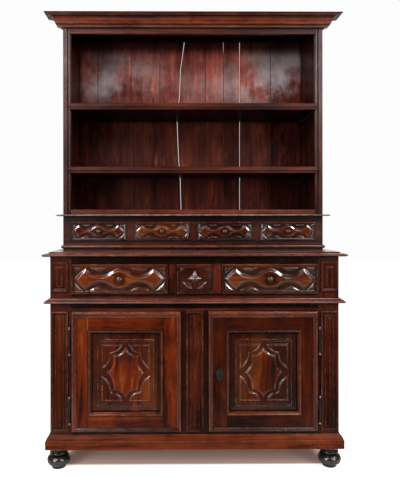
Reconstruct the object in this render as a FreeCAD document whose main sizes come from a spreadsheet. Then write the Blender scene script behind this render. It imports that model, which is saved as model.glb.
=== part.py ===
import FreeCAD, Part
import math
import os

import Sketcher

# Two-part dresser: a panelled base on bun feet and an open plate rack, in millimetres.
# The origin is on the floor, under the middle of the whole piece.
# X runs to the right, Y to the back and Z up. The front faces -Y.

DRIVING_SIZES = {
    # Base carcass
    "base_width": 1354,
    "base_depth": 500,
    "foot_height": 110,
    "carcass_height": 898,
    "front_post_width": 97,
    "rear_post_width": 60,
    "post_depth": 60,
    "rail_thickness": 30,
    "side_rail_thickness": 25,
    "bottom_rail_height": 74.5,
    "top_rail_height": 33,
    "middle_rail_height": 75.5,
    "door_clearance": 2,
    "drawer_clearance": 2,
    "base_drawer_height": 142,
    "door_muntin_width": 124,
    "centre_drawer_width": 168,
    "drawer_muntin_width": 38,
    "side_bottom_rail_height": 90,
    "side_middle_rail_height": 80,
    "side_top_rail_height": 60,
    "side_panel_thickness": 10,
    "side_panel_bevel": 34,
    "side_panel_field_rise": 7,
    "back_board_thickness": 12,
    "back_board_gap": 0.6,
    "rear_rail_height": 60,
    "rear_rail_thickness": 22,
    "floor_thickness": 20,
    "base_shelf_lift": 285.5,
    "base_shelf_thickness": 18,
    "base_shelf_setback": 90,
    "batten_width": 25,
    "batten_height": 22,
    "runner_width": 30,
    "runner_height": 20,
    # Worktop
    "worktop_thickness": 22,
    "worktop_side_overhang": 32,
    "worktop_front_overhang": 36,
    # Applied mouldings of the base
    "plinth_height": 66,
    "plinth_face_height": 40,
    "plinth_projection": 20,
    "plinth_top_projection": 5,
    "waist_moulding_height": 23,
    "waist_moulding_projection": 26,
    "waist_moulding_drop": 17,
    # Pilaster frames
    "pilaster_width": 80,
    "pilaster_outer_margin": 4,
    "pilaster_end_margin": 2,
    "pilaster_rise": 8,
    "pilaster_border": 13,
    "pilaster_field_margin": 6,
    "pilaster_back": 2,
    "block_height": 141,
    "block_top_drop": 25,
    # Feet
    "foot_bun_radius": 54,
    "foot_sole_radius": 28,
    "foot_neck_radius": 29,
    "foot_bun_height": 54,
    "foot_neck_height": 62,
    "foot_collar_radius": 52,
    "foot_collar_cove_height": 24,
    "foot_front_setback": 57,
    "foot_side_setback": 27,
    # Doors
    "door_thickness": 28,
    "door_hinge_stile_width": 77,
    "door_lock_stile_width": 85,
    "door_top_rail_height": 90,
    "door_bottom_rail_height": 75,
    "door_post_gap": 3,
    "door_meeting_gap": 2,
    "door_edge_moulding_width": 20,
    "door_top_moulding_width": 30,
    "door_moulding_rise": 12,
    "panel_moulding_width": 16,
    "panel_moulding_rise": 7,
    "panel_thickness": 12,
    "panel_recess": 12,
    "panel_bevel": 26,
    "panel_field_rise": 8,
    "star_bow": 6,
    "star_rise": 6,
    "star_bevel": 7,
    "spandrel_end_gap": 9,
    "spandrel_rise": 5,
    "spandrel_bevel": 7,
    # Pin hinges
    "hinge_offset": 10,
    "hinge_standoff": 5.5,
    "hinge_barrel_radius": 5,
    "hinge_pin_radius": 3,
    "hinge_fit": 0.05,
    "hinge_end_gap": 0.4,
    "hinge_lower_barrel": 55,
    "hinge_upper_barrel": 44,
    "hinge_finial_height": 20,
    "hinge_leaf_thickness": 1.5,
    "hinge_leaf_depth": 18,
    "hinge_plate_sink": 1,
    "upper_hinge_drop": 190.5,
    "lower_hinge_lift": 49.5,
    # Lock and turn button
    "keyhole_lift": 263.5,
    "lock_case_width": 62,
    "lock_case_setback": 4,
    "lock_case_height": 80,
    "lock_case_depth": 16,
    "lock_wall": 3,
    "lock_bolt_height": 24,
    "lock_bolt_depth": 7,
    "lock_bolt_length": 48,
    "lock_fit": 0.4,
    "escutcheon_width": 40,
    "escutcheon_height": 68,
    "escutcheon_thickness": 2.5,
    "keyhole_radius": 2.4,
    "button_length": 62,
    "button_width": 18,
    "button_thickness": 9,
    "button_standoff": 3,
    "button_pin_radius": 3,
    "button_fit": 0.05,
    "button_inset": 22,
    "button_lift": 283.5,
    "button_pin_head": 3,
    "button_pin_head_radius": 6,
    # Drawers
    "drawer_front_thickness": 22,
    "drawer_side_thickness": 10,
    "drawer_side_inset": 1,
    "drawer_bottom_thickness": 6,
    "drawer_bottom_lift": 5,
    "drawer_side_drop": 14,
    "drawer_slide_gap": 0.4,
    "drawer_rear_gap": 12,
    "drawer_border_width": 15,
    "drawer_border_rise": 6,
    "drawer_ribbon_rise": 11,
    "drawer_ribbon_bevel": 11,
    "drawer_spandrel_rise": 4,
    "base_knob_radius": 11.5,
    "base_knob_length": 22,
    "rack_drawer_border_width": 10,
    "rack_knob_radius": 9.5,
    "rack_knob_length": 19,
    # Rack
    "rack_width": 1300,
    "rack_depth": 345,
    "rack_height": 1162,
    "rack_stile_width": 37,
    "rack_stile_thickness": 24,
    "rack_stile_bead": 13,
    "rack_stile_groove": 4,
    "rack_stile_relief": 5,
    "rack_side_thickness": 22,
    "rack_drawer_height": 91,
    "rack_drawer_clearance": 1.5,
    "rack_drawer_divider_width": 35,
    "rack_bottom_rail_height": 45.5,
    "rack_upper_rail_height": 29.5,
    "rack_rail_thickness": 22,
    "rack_case_floor_thickness": 16,
    "rack_partition_thickness": 12,
    "foot_bead_lift": 8,
    "foot_bead_height": 16,
    "foot_bead_projection": 9,
    "waist_board_thickness": 8,
    "waist_board_projection": 31,
    "waist_strip_height": 24,
    "waist_strip_thickness": 20,
    "lower_shelf_level": 1412,
    "upper_shelf_level": 1730,
    "shelf_thickness": 20,
    "shelf_moulding_height": 35,
    "shelf_moulding_projection": 8,
    "shelf_moulding_point": 15,
    "shelf_moulding_thickness": 8,
    "shelf_cleat_height": 18,
    "shelf_cleat_width": 14,
    "frieze_drop": 24,
    "cornice_height": 56,
    "cornice_projection": 78,
    "rack_top_thickness": 10,
    "rack_back_gap": 0.3,
    "rack_back_open_gap": 4,
    "rack_back_crack": 3,
}

# Outlines and spacings as shares of the sizes that they follow, chosen by eye.
# Cornice: share of the projection, share of the height.
CORNICE_SHARES = [
    (0.0, 0.0), (0.07, 0.02), (0.20, 0.10), (0.33, 0.26), (0.45, 0.31), (0.50, 0.40), (0.56, 0.56),
    (0.66, 0.76), (0.79, 0.80), (0.86, 0.88), (0.98, 0.93), (1.0, 0.97), (1.0, 1.0), (0.0, 1.0),
]
# Plinth: share of the step between the two projections, share of the moulded height.
PLINTH_OGEE_SHARES = [(0.80, 0.10), (0.72, 0.35), (0.45, 0.60), (0.15, 0.80), (0.0, 1.0)]
# Waist moulding: share of the projection, share of the height.
WAIST_SHARES = [
    (0.0, 0.0), (0.62, 0.0), (1.0, 0.22), (1.0, 0.42), (0.75, 0.66), (0.35, 0.84), (0.30, 1.0), (0.0, 1.0),
]
# Worktop edge: share of the overhang behind the nose, share of the thickness.
WORKTOP_EDGE_SHARES = [
    (0.55, 0.0), (0.10, 0.16), (0.0, 0.30), (0.04, 0.42), (0.55, 0.72), (0.86, 0.80), (0.92, 1.0),
]
WAIST_EDGE_SHARES = [(0.20, 0.0), (0.0, 0.35), (0.05, 0.65), (0.30, 1.0)]
BEAD_SHARES = [(0.0, 0.0), (0.55, 0.0), (0.92, 0.2), (1.0, 0.5), (0.92, 0.8), (0.55, 1.0), (0.0, 1.0)]
SHELF_EDGE_SHARES = [
    (0.0, 0.0), (0.45, 0.10), (0.55, 0.34), (1.0, 0.42), (1.0, 0.58), (0.55, 0.66), (0.45, 0.90), (0.0, 1.0),
]
# Bun foot: share of the bun radius, share of the bun height.
BUN_SHARES = [(0.62, 0.04), (0.90, 0.24), (1.0, 0.52), (0.93, 0.80), (0.76, 0.96)]
KNOB_SHARES = [(0.45, 0.0), (0.36, 0.34), (0.80, 0.46), (1.0, 0.68), (0.80, 0.90)]
# Cove of the collar above a foot: shares of a quarter turn.
COVE_SHARES = [0.25, 0.5, 0.75, 1.0]
# Rounded bead of a rack stile: shares of the bead's width.
STILE_BEAD_SHARES = [0.0, 0.15, 0.32, 0.5, 0.68, 0.85, 1.0]
# Slope beside the stile's groove: share of the groove's width.
GROOVE_SLOPE_SHARE = 0.25
# Vertical joints between the rack's back boards, as shares of the rack's half width.
BACK_JOINT_SHARES = [-0.81, -0.52, -0.268, 0.13, 0.301, 0.43, 0.70]
OPEN_JOINT_SHARE = 0.43
BASE_BACK_BOARD_COUNT = 8
RACK_DRAWER_COUNT = 4
# The split in the wide back board: share of the half width, share of the rack's height.
CRACK_SHARES = [
    (-0.088, 0.0), (-0.084, 0.17), (-0.092, 0.34), (-0.104, 0.42), (-0.112, 0.52),
    (-0.118, 0.62), (-0.096, 0.74), (-0.088, 0.86), (-0.054, 1.0),
]


class Length:
    """A length that knows its number and the expression that gives it."""

    def __init__(self, number, text):
        self.number = float(number)
        self.text = text

    def __float__(self):
        return self.number

    def __add__(self, other):
        return joined(self, "+", as_length(other))

    def __radd__(self, other):
        return joined(as_length(other), "+", self)

    def __sub__(self, other):
        return joined(self, "-", as_length(other))

    def __rsub__(self, other):
        return joined(as_length(other), "-", self)

    def __mul__(self, factor):
        return Length(self.number * factor, f"({self.text}) * {factor}")

    def __rmul__(self, factor):
        return self * factor

    def __truediv__(self, factor):
        return Length(self.number / factor, f"({self.text}) / {factor}")

    def __neg__(self):
        return Length(-self.number, f"-({self.text})")


def as_length(value):
    if isinstance(value, Length):
        return value
    return Length(value, f"{value}")


def joined(first, sign, second):
    number = first.number + second.number if sign == "+" else first.number - second.number
    return Length(number, f"{first.text} {sign} ({second.text})")


def make_sheet(document):
    """Put every driving dimension in one sheet, a name beside each number."""
    sheet = document.addObject("Spreadsheet::Sheet", "Sizes")
    for row, (name, value) in enumerate(DRIVING_SIZES.items(), start=1):
        sheet.set(f"A{row}", name)
        sheet.set(f"B{row}", str(value))
        sheet.setAlias(f"B{row}", name)
    document.recompute()
    return sheet


class Named:
    """Hands out the sheet's sizes by name."""

    def __init__(self, sheet):
        for name in DRIVING_SIZES:
            setattr(self, name, Length(sheet.get(name), f"Sizes.{name}"))


doc = FreeCAD.newDocument("dresser")
size = Named(make_sheet(doc))
nodes = []


# Levels and places that several pieces share

half_width = size.base_width / 2
front = (size.worktop_front_overhang - size.base_depth) / 2
back = (size.worktop_front_overhang + size.base_depth) / 2
frame_back = front + size.rail_thickness
post_back = front + size.post_depth
rear_post_front = back - size.post_depth
rear_rail_back = back - size.back_board_thickness
rear_rail_front = rear_rail_back - size.rear_rail_thickness
post_inner = half_width - size.front_post_width
rear_post_inner = half_width - size.rear_post_width
side_inner = half_width - size.side_rail_thickness

carcass_top = size.foot_height + size.carcass_height
bottom_rail_top = size.foot_height + size.bottom_rail_height
door_bottom = bottom_rail_top + size.door_clearance
top_rail_bottom = carcass_top - size.top_rail_height
base_drawer_top = top_rail_bottom - size.drawer_clearance
base_drawer_bottom = base_drawer_top - size.base_drawer_height
middle_rail_top = base_drawer_bottom - size.drawer_clearance
middle_rail_bottom = middle_rail_top - size.middle_rail_height
door_top = middle_rail_bottom - size.door_clearance
keyhole_level = door_bottom + size.keyhole_lift

door_outer = post_inner - size.door_post_gap
muntin_edge = size.door_muntin_width / 2
door_inner = muntin_edge + size.door_meeting_gap
centre_drawer_edge = size.centre_drawer_width / 2
drawer_muntin_inner = centre_drawer_edge + size.drawer_clearance
drawer_muntin_outer = drawer_muntin_inner + size.drawer_muntin_width
wide_drawer_inner = drawer_muntin_outer + size.drawer_clearance
wide_drawer_outer = post_inner - size.drawer_clearance

worktop_top = carcass_top + size.worktop_thickness
rack_half = size.rack_width / 2
rack_front = back - size.rack_depth
rack_back = back - size.back_board_thickness
rack_top = worktop_top + size.rack_height
rack_rail_back = rack_front + size.rack_rail_thickness
rack_stile_back = rack_front + size.rack_stile_thickness
rack_stile_inner = rack_half - size.rack_stile_width
rack_side_inner = rack_half - size.rack_side_thickness
rack_drawer_floor = worktop_top + size.rack_bottom_rail_height
rack_drawer_bottom = rack_drawer_floor + size.rack_drawer_clearance
rack_drawer_top = rack_drawer_bottom + size.rack_drawer_height
rack_upper_rail_bottom = rack_drawer_top + size.rack_drawer_clearance
waist_board_bottom = rack_upper_rail_bottom + size.rack_upper_rail_height
waist_board_top = waist_board_bottom + size.waist_board_thickness
cornice_bottom = rack_top - size.cornice_height
frieze_bottom = cornice_bottom - size.frieze_drop
zero = Length(0, "0")


# Making shapes


def board(label, x_span, y_span, z_span):
    """A plain board between two places along each axis, bound to the sheet."""
    box = doc.addObject("Part::Box", label)
    for side, span in zip(("Length", "Width", "Height"), (x_span, y_span, z_span)):
        box.setExpression(side, (span[1] - span[0]).text)
    for axis, span in zip("xyz", (x_span, y_span, z_span)):
        box.setExpression(f"Placement.Base.{axis}", span[0].text)
    return box


def board_pair(label, x_span, y_span, z_span):
    """The same board on the right and, mirrored, on the left."""
    left_span = (-x_span[1], -x_span[0])
    return [
        board(f"right_{label}", x_span, y_span, z_span),
        board(f"left_{label}", left_span, y_span, z_span),
    ]


def board_node(label, boards):
    """One node that holds several boards as separate solids."""
    group = doc.addObject("Part::Compound", label)
    group.Links = boards
    nodes.append(group)
    return group


def shape_node(label, shapes):
    """One node whose solids are worked out here from the sheet's sizes."""
    feature = doc.addObject("Part::Feature", label)
    feature.Shape = shapes[0] if len(shapes) == 1 else Part.makeCompound(shapes)
    nodes.append(feature)
    return feature


def point(x, y, z):
    return FreeCAD.Vector(float(x), float(y), float(z))


def mirrored(shape):
    """The same shape on the other side of the middle plane."""
    return shape.mirror(FreeCAD.Vector(0, 0, 0), FreeCAD.Vector(1, 0, 0))


def both_sides(shapes):
    return list(shapes) + [mirrored(shape) for shape in shapes]


def block(x_span, y_span, z_span):
    corner = point(x_span[0], y_span[0], z_span[0])
    far = point(x_span[1], y_span[1], z_span[1])
    extent = far - corner
    return Part.makeBox(extent.x, extent.y, extent.z, corner)


def closed_wire(points):
    return Part.makePolygon(list(points) + [points[0]])


def extruded(points, travel):
    """A flat outline pushed along one direction."""
    return Part.Face(closed_wire(points)).extrude(travel)


def ruled(first_points, last_points):
    """A solid whose two ends are given outlines with as many points each."""
    return Part.makeLoft([closed_wire(first_points), closed_wire(last_points)], True, True)


def upright_solid(shape):
    """The same solid with its faces pointing outwards."""
    if shape.Volume < 0:
        shape.reverse()
    return shape


def wrapped_moulding(half_span, face, rear, bottom, profile):
    """Three mitred lengths round the front and the two sides.

    Each profile point is the distance out of the face and the height above the bottom."""
    def corner(side, out, up):
        return point(side * (float(half_span) + out), float(face) - out, float(bottom) + up)

    def rear_end(side, out, up):
        return point(side * (float(half_span) + out), float(rear), float(bottom) + up)

    lengths = [ruled([corner(-1, *p) for p in profile], [corner(1, *p) for p in profile])]
    for side in (-1, 1):
        lengths.append(ruled([corner(side, *p) for p in profile], [rear_end(side, *p) for p in profile]))
    return [upright_solid(length) for length in lengths]


def scaled_profile(shares, out, up):
    return [(float(out) * out_share, float(up) * up_share) for out_share, up_share in shares]


def moulded_slab(half_span, face, rear, bottom, thickness, side_out, front_out, edge_shares):
    """A slab whose moulded edge runs round the front and both ends."""
    def edge(out):
        return [(float(out) * (1 - share), float(thickness) * up) for share, up in edge_shares]

    front_edge = [(0, float(face) - out, float(bottom) + up) for out, up in edge(front_out)]
    rear_edge = [(0, float(rear), float(bottom + thickness)), (0, float(rear), float(bottom))]
    across = float(half_span + side_out)
    start = FreeCAD.Vector(-across, 0, 0)
    lengthways = [FreeCAD.Vector(*p) + start for p in front_edge + rear_edge]
    along = extruded(lengthways, FreeCAD.Vector(2 * across, 0, 0))
    near = face - front_out
    right = [point(float(half_span) + out, near, float(bottom) + up) for out, up in edge(side_out)]
    left = [FreeCAD.Vector(-p.x, p.y, p.z) for p in reversed(right)]
    ends = extruded(right + left, FreeCAD.Vector(0, float(rear - face + front_out), 0))
    return along.common(ends).Solids[0]


def frame_ring(x_span, z_span, widths, shares, face, rise):
    """A mitred frame that stands proud of an upright face.

    widths are those of the left, right, lower and upper members; each share pair is the way in
    across the member and the way out of the face."""
    left, right, lower, upper = [float(width) for width in widths]

    def corners(inward, outward):
        x_low = float(x_span[0]) + left * inward
        x_high = float(x_span[1]) - right * inward
        z_low = float(z_span[0]) + lower * inward
        z_high = float(z_span[1]) - upper * inward
        return rectangle([(x_low, z_low), (x_high, z_high)], float(face) - float(rise) * outward)

    loops = [corners(*share) for share in shares]
    faces = []
    for loop, following in zip(loops, loops[1:] + loops[:1]):
        for here in range(4):
            there = (here + 1) % 4
            corner_points = [loop[here], loop[there], following[there], following[here]]
            faces.append(Part.Face(closed_wire(corner_points)))
    return upright_solid(Part.Solid(Part.Shell(faces)))


def rectangle(corners, y):
    (x_low, z_low), (x_high, z_high) = corners
    places = ((x_low, z_low), (x_high, z_low), (x_high, z_high), (x_low, z_high))
    return [point(x, y, z) for x, z in places]


def curved_wire(outline, y):
    """A closed outline in an upright plane: each point has the bow of the stretch after it."""
    edges = []
    for (x, z, bow), (next_x, next_z, _) in zip(outline, outline[1:] + outline[:1]):
        start = point(x, y, z)
        end = point(next_x, y, next_z)
        if abs(bow) < 1e-6:
            edges.append(Part.LineSegment(start, end).toShape())
            continue
        run = end - start
        across = FreeCAD.Vector(-run.z, 0, run.x).normalize()
        middle = (start + end) / 2 + across * bow
        edges.append(Part.Arc(start, middle, end).toShape())
    return Part.Wire(edges)


def relief(low_outline, high_outline, face, rise):
    """A carved form that rises from one outline on the face to a smaller one in front of it."""
    low = curved_wire(low_outline, float(face))
    high = curved_wire(high_outline, float(face) - float(rise))
    return upright_solid(Part.makeLoft([low, high], True, True))


def turned(outline):
    """A solid turned about the upright axis; each point is a radius and a height."""
    points = [point(radius, 0, height) for radius, height in outline]
    return upright_solid(Part.Face(closed_wire(points)).revolve(point(0, 0, 0), point(0, 0, 1), 360))


def turned_body(label, outline):
    """A turned piece: a sketched half outline revolved about the upright axis."""
    body = doc.addObject("PartDesign::Body", label)
    sketch = body.newObject("Sketcher::SketchObject", f"{label}_outline")
    plane = next(item for item in body.Origin.OriginFeatures if item.Role == "XZ_Plane")
    sketch.AttachmentSupport = [(plane, "")]
    sketch.MapMode = "FlatFace"
    corners = [FreeCAD.Vector(float(radius), float(height), 0) for radius, height in outline]
    count = len(corners)
    for here in range(count):
        sketch.addGeometry(Part.LineSegment(corners[here], corners[(here + 1) % count]))
    for here in range(count):
        sketch.addConstraint(Sketcher.Constraint("Coincident", here, 2, (here + 1) % count, 1))
    for here, (radius, height) in enumerate(outline):
        hold_place(sketch, here, "X", as_length(radius))
        hold_place(sketch, here, "Y", as_length(height))
    doc.recompute()
    spin = body.newObject("PartDesign::Revolution", f"{label}_turning")
    spin.Profile = sketch
    spin.ReferenceAxis = (sketch, ["V_Axis"])
    spin.Angle = 360
    body.Tip = spin
    doc.recompute()
    return body


def hold_place(sketch, vertex, axis, distance):
    """Tie one corner of a sketch to its distance from an axis."""
    if abs(float(distance)) < 1e-9:
        across = -2 if axis == "X" else -1
        sketch.addConstraint(Sketcher.Constraint("PointOnObject", vertex, 1, across))
        return
    constraint = Sketcher.Constraint(f"Distance{axis}", -1, 1, vertex, 1, float(distance))
    index = sketch.addConstraint(constraint)
    sketch.setExpression(f"Constraints[{index}]", distance.text)


def placed_copies(body, places):
    """Copies of a turned piece at several places."""
    copies = []
    for place in places:
        copy = body.Shape.Solids[0].copy()
        copy.translate(place)
        copies.append(copy)
    return copies


# Base: feet, posts, rails and muntins


def make_feet():
    """Ebonised bun feet, and the coved collars that join them to the plinth."""
    bun = [(zero, zero), (size.foot_sole_radius, zero)]
    bun += [(size.foot_bun_radius * r, size.foot_bun_height * h) for r, h in BUN_SHARES]
    bun += [(size.foot_neck_radius, size.foot_bun_height), (size.foot_neck_radius, size.foot_neck_height)]
    bun += [(zero, size.foot_neck_height)]
    foot = turned_body("foot_turning", bun)
    flare = size.foot_collar_radius - size.foot_neck_radius
    collar = [(zero, size.foot_neck_height), (size.foot_neck_radius, size.foot_neck_height)]
    for cove_share in COVE_SHARES:
        turn = cove_share * math.pi / 2
        out = size.foot_neck_radius + flare * (1 - math.cos(turn))
        collar.append((out, size.foot_neck_height + size.foot_collar_cove_height * math.sin(turn)))
    collar += [(size.foot_collar_radius, size.foot_height), (zero, size.foot_height)]
    collar_body = turned_body("collar_turning", collar)
    across = half_width - size.foot_side_setback
    places = [
        point(side * float(across), depth, 0)
        for depth in (front + size.foot_front_setback, back - size.foot_front_setback)
        for side in (-1, 1)
    ]
    shape_node("bun_feet", placed_copies(foot, places))
    shape_node("foot_collars", placed_copies(collar_body, places))


def make_posts():
    upright = (size.foot_height, carcass_top)
    fronts = board_pair("front_post", (post_inner, half_width), (front, post_back), upright)
    rears = board_pair("rear_post", (rear_post_inner, half_width), (rear_post_front, back), upright)
    board_node("base_corner_posts", fronts + rears)


def make_front_frame():
    """Three rails between the front posts, and the muntins that divide doors and drawers."""
    across = (-post_inner, post_inner)
    deep = (front, frame_back)
    rails = [
        board("bottom_rail", across, deep, (size.foot_height, bottom_rail_top)),
        board("middle_rail", across, deep, (middle_rail_bottom, middle_rail_top)),
        board("top_rail", across, deep, (top_rail_bottom, carcass_top)),
    ]
    between_drawers = board_pair(
        "drawer_muntin", (drawer_muntin_inner, drawer_muntin_outer), deep,
        (middle_rail_top, top_rail_bottom))
    centre = board("door_muntin", (-muntin_edge, muntin_edge), deep, (bottom_rail_top, middle_rail_bottom))
    board_node("base_front_frame", rails + [centre] + between_drawers)


side_bottom_rail_top = size.foot_height + size.side_bottom_rail_height
side_middle_rail_top = middle_rail_top
side_middle_rail_bottom = side_middle_rail_top - size.side_middle_rail_height
side_top_rail_bottom = carcass_top - size.side_top_rail_height


def make_side_frames():
    """Three rails join the front and rear posts on each side, and hold two raised panels."""
    across = (side_inner, half_width)
    along = (post_back, rear_post_front)
    board_node(
        "base_side_rails",
        board_pair("side_bottom_rail", across, along, (size.foot_height, side_bottom_rail_top))
        + board_pair("side_middle_rail", across, along, (side_middle_rail_bottom, side_middle_rail_top))
        + board_pair("side_top_rail", across, along, (side_top_rail_bottom, carcass_top)))
    panels = []
    for low, high in (
            (side_bottom_rail_top, side_middle_rail_bottom),
            (side_middle_rail_top, side_top_rail_bottom)):
        panels += both_sides([side_panel(along, (low, high))])
    shape_node("base_side_panels", panels)


def side_panel(along, upright):
    """A raised panel: a thin board with a bevel up to a flat field on its outer face."""
    middle = float(side_inner) + float(size.side_panel_thickness)
    bevel = float(size.side_panel_bevel)
    sheet = block((side_inner, side_inner + size.side_panel_thickness), along, upright)
    y_low, y_high = float(along[0]), float(along[1])
    z_low, z_high = float(upright[0]), float(upright[1])
    edge_places = ((y_low, z_low), (y_high, z_low), (y_high, z_high), (y_low, z_high))
    low = [point(middle, y, z) for y, z in edge_places]
    out = middle + float(size.side_panel_field_rise)
    field = [
        point(out, y_low + bevel, z_low + bevel), point(out, y_high - bevel, z_low + bevel),
        point(out, y_high - bevel, z_high - bevel), point(out, y_low + bevel, z_high - bevel),
    ]
    return sheet.fuse(upright_solid(ruled(low, field))).removeSplitter().Solids[0]


def make_rear():
    """Rails between the rear posts, and upright boards nailed over them."""
    across = (-rear_post_inner, rear_post_inner)
    deep = (rear_rail_front, rear_rail_back)
    middle_low = middle_rail_top - size.rear_rail_height
    board_node("base_rear_rails", [
        board("rear_bottom_rail", across, deep, (size.foot_height, bottom_rail_top)),
        board("rear_middle_rail", across, deep, (middle_low, middle_rail_top)),
        board("rear_top_rail", across, deep, (carcass_top - size.rear_rail_height, carcass_top)),
    ])
    width = rear_post_inner * 2 / BASE_BACK_BOARD_COUNT
    boards = []
    for here in range(BASE_BACK_BOARD_COUNT):
        low = -rear_post_inner + width * here
        boards.append(board(
            f"base_back_board_{here + 1}", (low, low + width - size.back_board_gap),
            (rear_rail_back, back), (size.foot_height, carcass_top)))
    board_node("base_back_boards", boards)


def make_inside():
    """Floor boards, the fixed shelf on its bearers, and the runners under the drawers."""
    low = bottom_rail_top - size.floor_thickness
    upright = (low, bottom_rail_top)
    board_node("base_floor", [
        board("floor_front_board", (-post_inner, post_inner), (frame_back, post_back), upright),
        board("floor_middle_board", (-side_inner, side_inner), (post_back, rear_post_front), upright),
        board("floor_rear_board", (-rear_post_inner, rear_post_inner),
              (rear_post_front, rear_rail_front), upright),
    ])
    batten_top = bottom_rail_top + size.base_shelf_lift
    shelf = (batten_top, batten_top + size.base_shelf_thickness)
    shelf_front = front + size.base_shelf_setback
    shelf_board = board("shelf_board", (-side_inner, side_inner), (shelf_front, rear_post_front), shelf)
    bearers = board_pair(
        "shelf_bearer", (side_inner - size.batten_width, side_inner), (post_back, rear_post_front),
        (batten_top - size.batten_height, batten_top))
    board_node("base_shelf", [shelf_board] + bearers)
    runner = (middle_rail_top - size.runner_height, middle_rail_top)
    deep = (frame_back, rear_rail_front)
    muntin_middle = (drawer_muntin_inner + drawer_muntin_outer) / 2
    near = (muntin_middle - size.runner_width, muntin_middle + size.runner_width)
    far = (post_inner - size.runner_width, post_inner)
    guide = (drawer_muntin_inner, drawer_muntin_outer)
    guide_height = (middle_rail_top, middle_rail_top + size.runner_height)
    board_node(
        "base_drawer_runners",
        board_pair("inner_runner", near, deep, runner)
        + board_pair("outer_runner", far, deep, runner)
        + board_pair("drawer_guide", guide, deep, guide_height))


# Base: worktop, mouldings and pilaster frames


def make_worktop():
    shape_node("worktop", [moulded_slab(
        half_width, front, back, carcass_top, size.worktop_thickness,
        size.worktop_side_overhang, size.worktop_front_overhang, WORKTOP_EDGE_SHARES)])


def make_base_mouldings():
    foot, top = float(size.plinth_projection), float(size.plinth_top_projection)
    face_height, height = float(size.plinth_face_height), float(size.plinth_height)
    plinth = [(0, 0), (foot, 0), (foot, face_height)]
    for out, up in PLINTH_OGEE_SHARES:
        plinth.append((top + (foot - top) * out, face_height + (height - face_height) * up))
    plinth.append((0, height))
    shape_node("plinth_moulding", wrapped_moulding(half_width, front, back, size.foot_height, plinth))
    waist_bottom = middle_rail_top - size.waist_moulding_drop - size.waist_moulding_height
    waist = scaled_profile(WAIST_SHARES, size.waist_moulding_projection, size.waist_moulding_height)
    shape_node("waist_moulding", wrapped_moulding(half_width, front, back, waist_bottom, waist))


PILASTER_RING_SHARES = [(0.0, 0.0), (0.0, 0.55), (0.25, 1.0), (0.60, 0.90), (1.0, 0.30), (1.0, 0.0)]
# Half the flat on a pilaster's ridge, as a share of its field's width.
RIDGE_SHARE = 0.042


def hipped_field(x_span, z_span, face, rise):
    """A long raised field whose four slopes meet in a ridge along its middle."""
    x_low, x_high = float(x_span[0]), float(x_span[1])
    z_low, z_high = float(z_span[0]), float(z_span[1])
    middle = (x_low + x_high) / 2
    hip = min(x_high - x_low, z_high - z_low) / 2
    flat = (x_high - x_low) * RIDGE_SHARE
    ridge = [(middle - flat, z_low + hip - flat), (middle + flat, z_high - hip + flat)]
    foot = [(x_low, z_low), (x_high, z_high)]
    return upright_solid(ruled(rectangle(foot, float(face)), rectangle(ridge, float(face) - float(rise))))


def pilaster(x_span, z_span):
    """A thin backing with a mitred border and a hipped field inside it."""
    face = front - size.pilaster_back
    border = size.pilaster_border
    inset = border + size.pilaster_field_margin
    back_plate = block(x_span, (face, front), z_span)
    ring = frame_ring(
        x_span, z_span, [border] * 4, PILASTER_RING_SHARES, face, size.pilaster_rise - size.pilaster_back)
    field = hipped_field(
        (x_span[0] + inset, x_span[1] - inset), (z_span[0] + inset, z_span[1] - inset),
        face, size.pilaster_rise - size.pilaster_back)
    return back_plate.fuse([ring, field]).removeSplitter().Solids[0]


def make_pilasters():
    """Framed strips on the posts and on the muntin, and short ones beside the drawers."""
    outer = half_width - size.pilaster_outer_margin
    on_post = (outer - size.pilaster_width, outer)
    on_muntin = (-size.pilaster_width / 2, size.pilaster_width / 2)
    tall = (bottom_rail_top + size.pilaster_end_margin, middle_rail_bottom - size.pilaster_end_margin)
    block_top = carcass_top - size.block_top_drop
    short = (block_top - size.block_height, block_top)
    shape_node("pilaster_frames", both_sides([pilaster(on_post, tall), pilaster(on_post, short)]) + [
        pilaster(on_muntin, tall)])


# Doors

door_face = front
door_back = front + size.door_thickness
panel_x = (door_inner + size.door_lock_stile_width, door_outer - size.door_hinge_stile_width)
panel_z = (door_bottom + size.door_bottom_rail_height, door_top - size.door_top_rail_height)
DOOR_EDGE_SHARES = [
    (0.0, 0.0), (0.0, 0.62), (0.22, 1.0), (0.55, 0.78), (0.80, 0.34), (1.0, 0.22), (1.0, 0.0),
]
PANEL_RING_SHARES = [(0.0, -1.0), (0.0, 0.45), (0.30, 1.0), (0.55, 0.70), (1.0, -0.70), (1.0, -1.0)]


def door_frame(with_keyhole):
    """Two stiles and two rails of the right door; the lock stile has the keyhole."""
    deep = (door_face, door_back)
    stile = (door_bottom, door_top)
    lock_stile = block((door_inner, panel_x[0]), deep, stile)
    if with_keyhole:
        lock_stile = lock_stile.cut(keyhole_core(door_face, door_back))
    return [
        lock_stile,
        block((panel_x[1], door_outer), deep, stile),
        block(panel_x, deep, (door_bottom, panel_z[0])),
        block(panel_x, deep, (panel_z[1], door_top)),
    ]


keyhole_x = door_inner + size.door_edge_moulding_width + (
    size.door_lock_stile_width - size.door_edge_moulding_width) / 2


# Slot of the keyhole: shares of the round hole's radius.
KEYHOLE_SLOT_SHARE = 4
KEYHOLE_SLOT_HALF_SHARE = 0.5


def keyhole_core(low, high):
    """The round hole and the slot below it that the key passes through."""
    run = float(high - low)
    radius = float(size.keyhole_radius)
    centre = point(keyhole_x, low, keyhole_level)
    round_part = Part.makeCylinder(radius, run, centre, FreeCAD.Vector(0, 1, 0))
    slot_half = radius * KEYHOLE_SLOT_HALF_SHARE
    slot_drop = radius * KEYHOLE_SLOT_SHARE
    slot = Part.makeBox(2 * slot_half, run, slot_drop, centre - FreeCAD.Vector(slot_half, 0, slot_drop))
    return round_part.fuse(slot)


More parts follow.
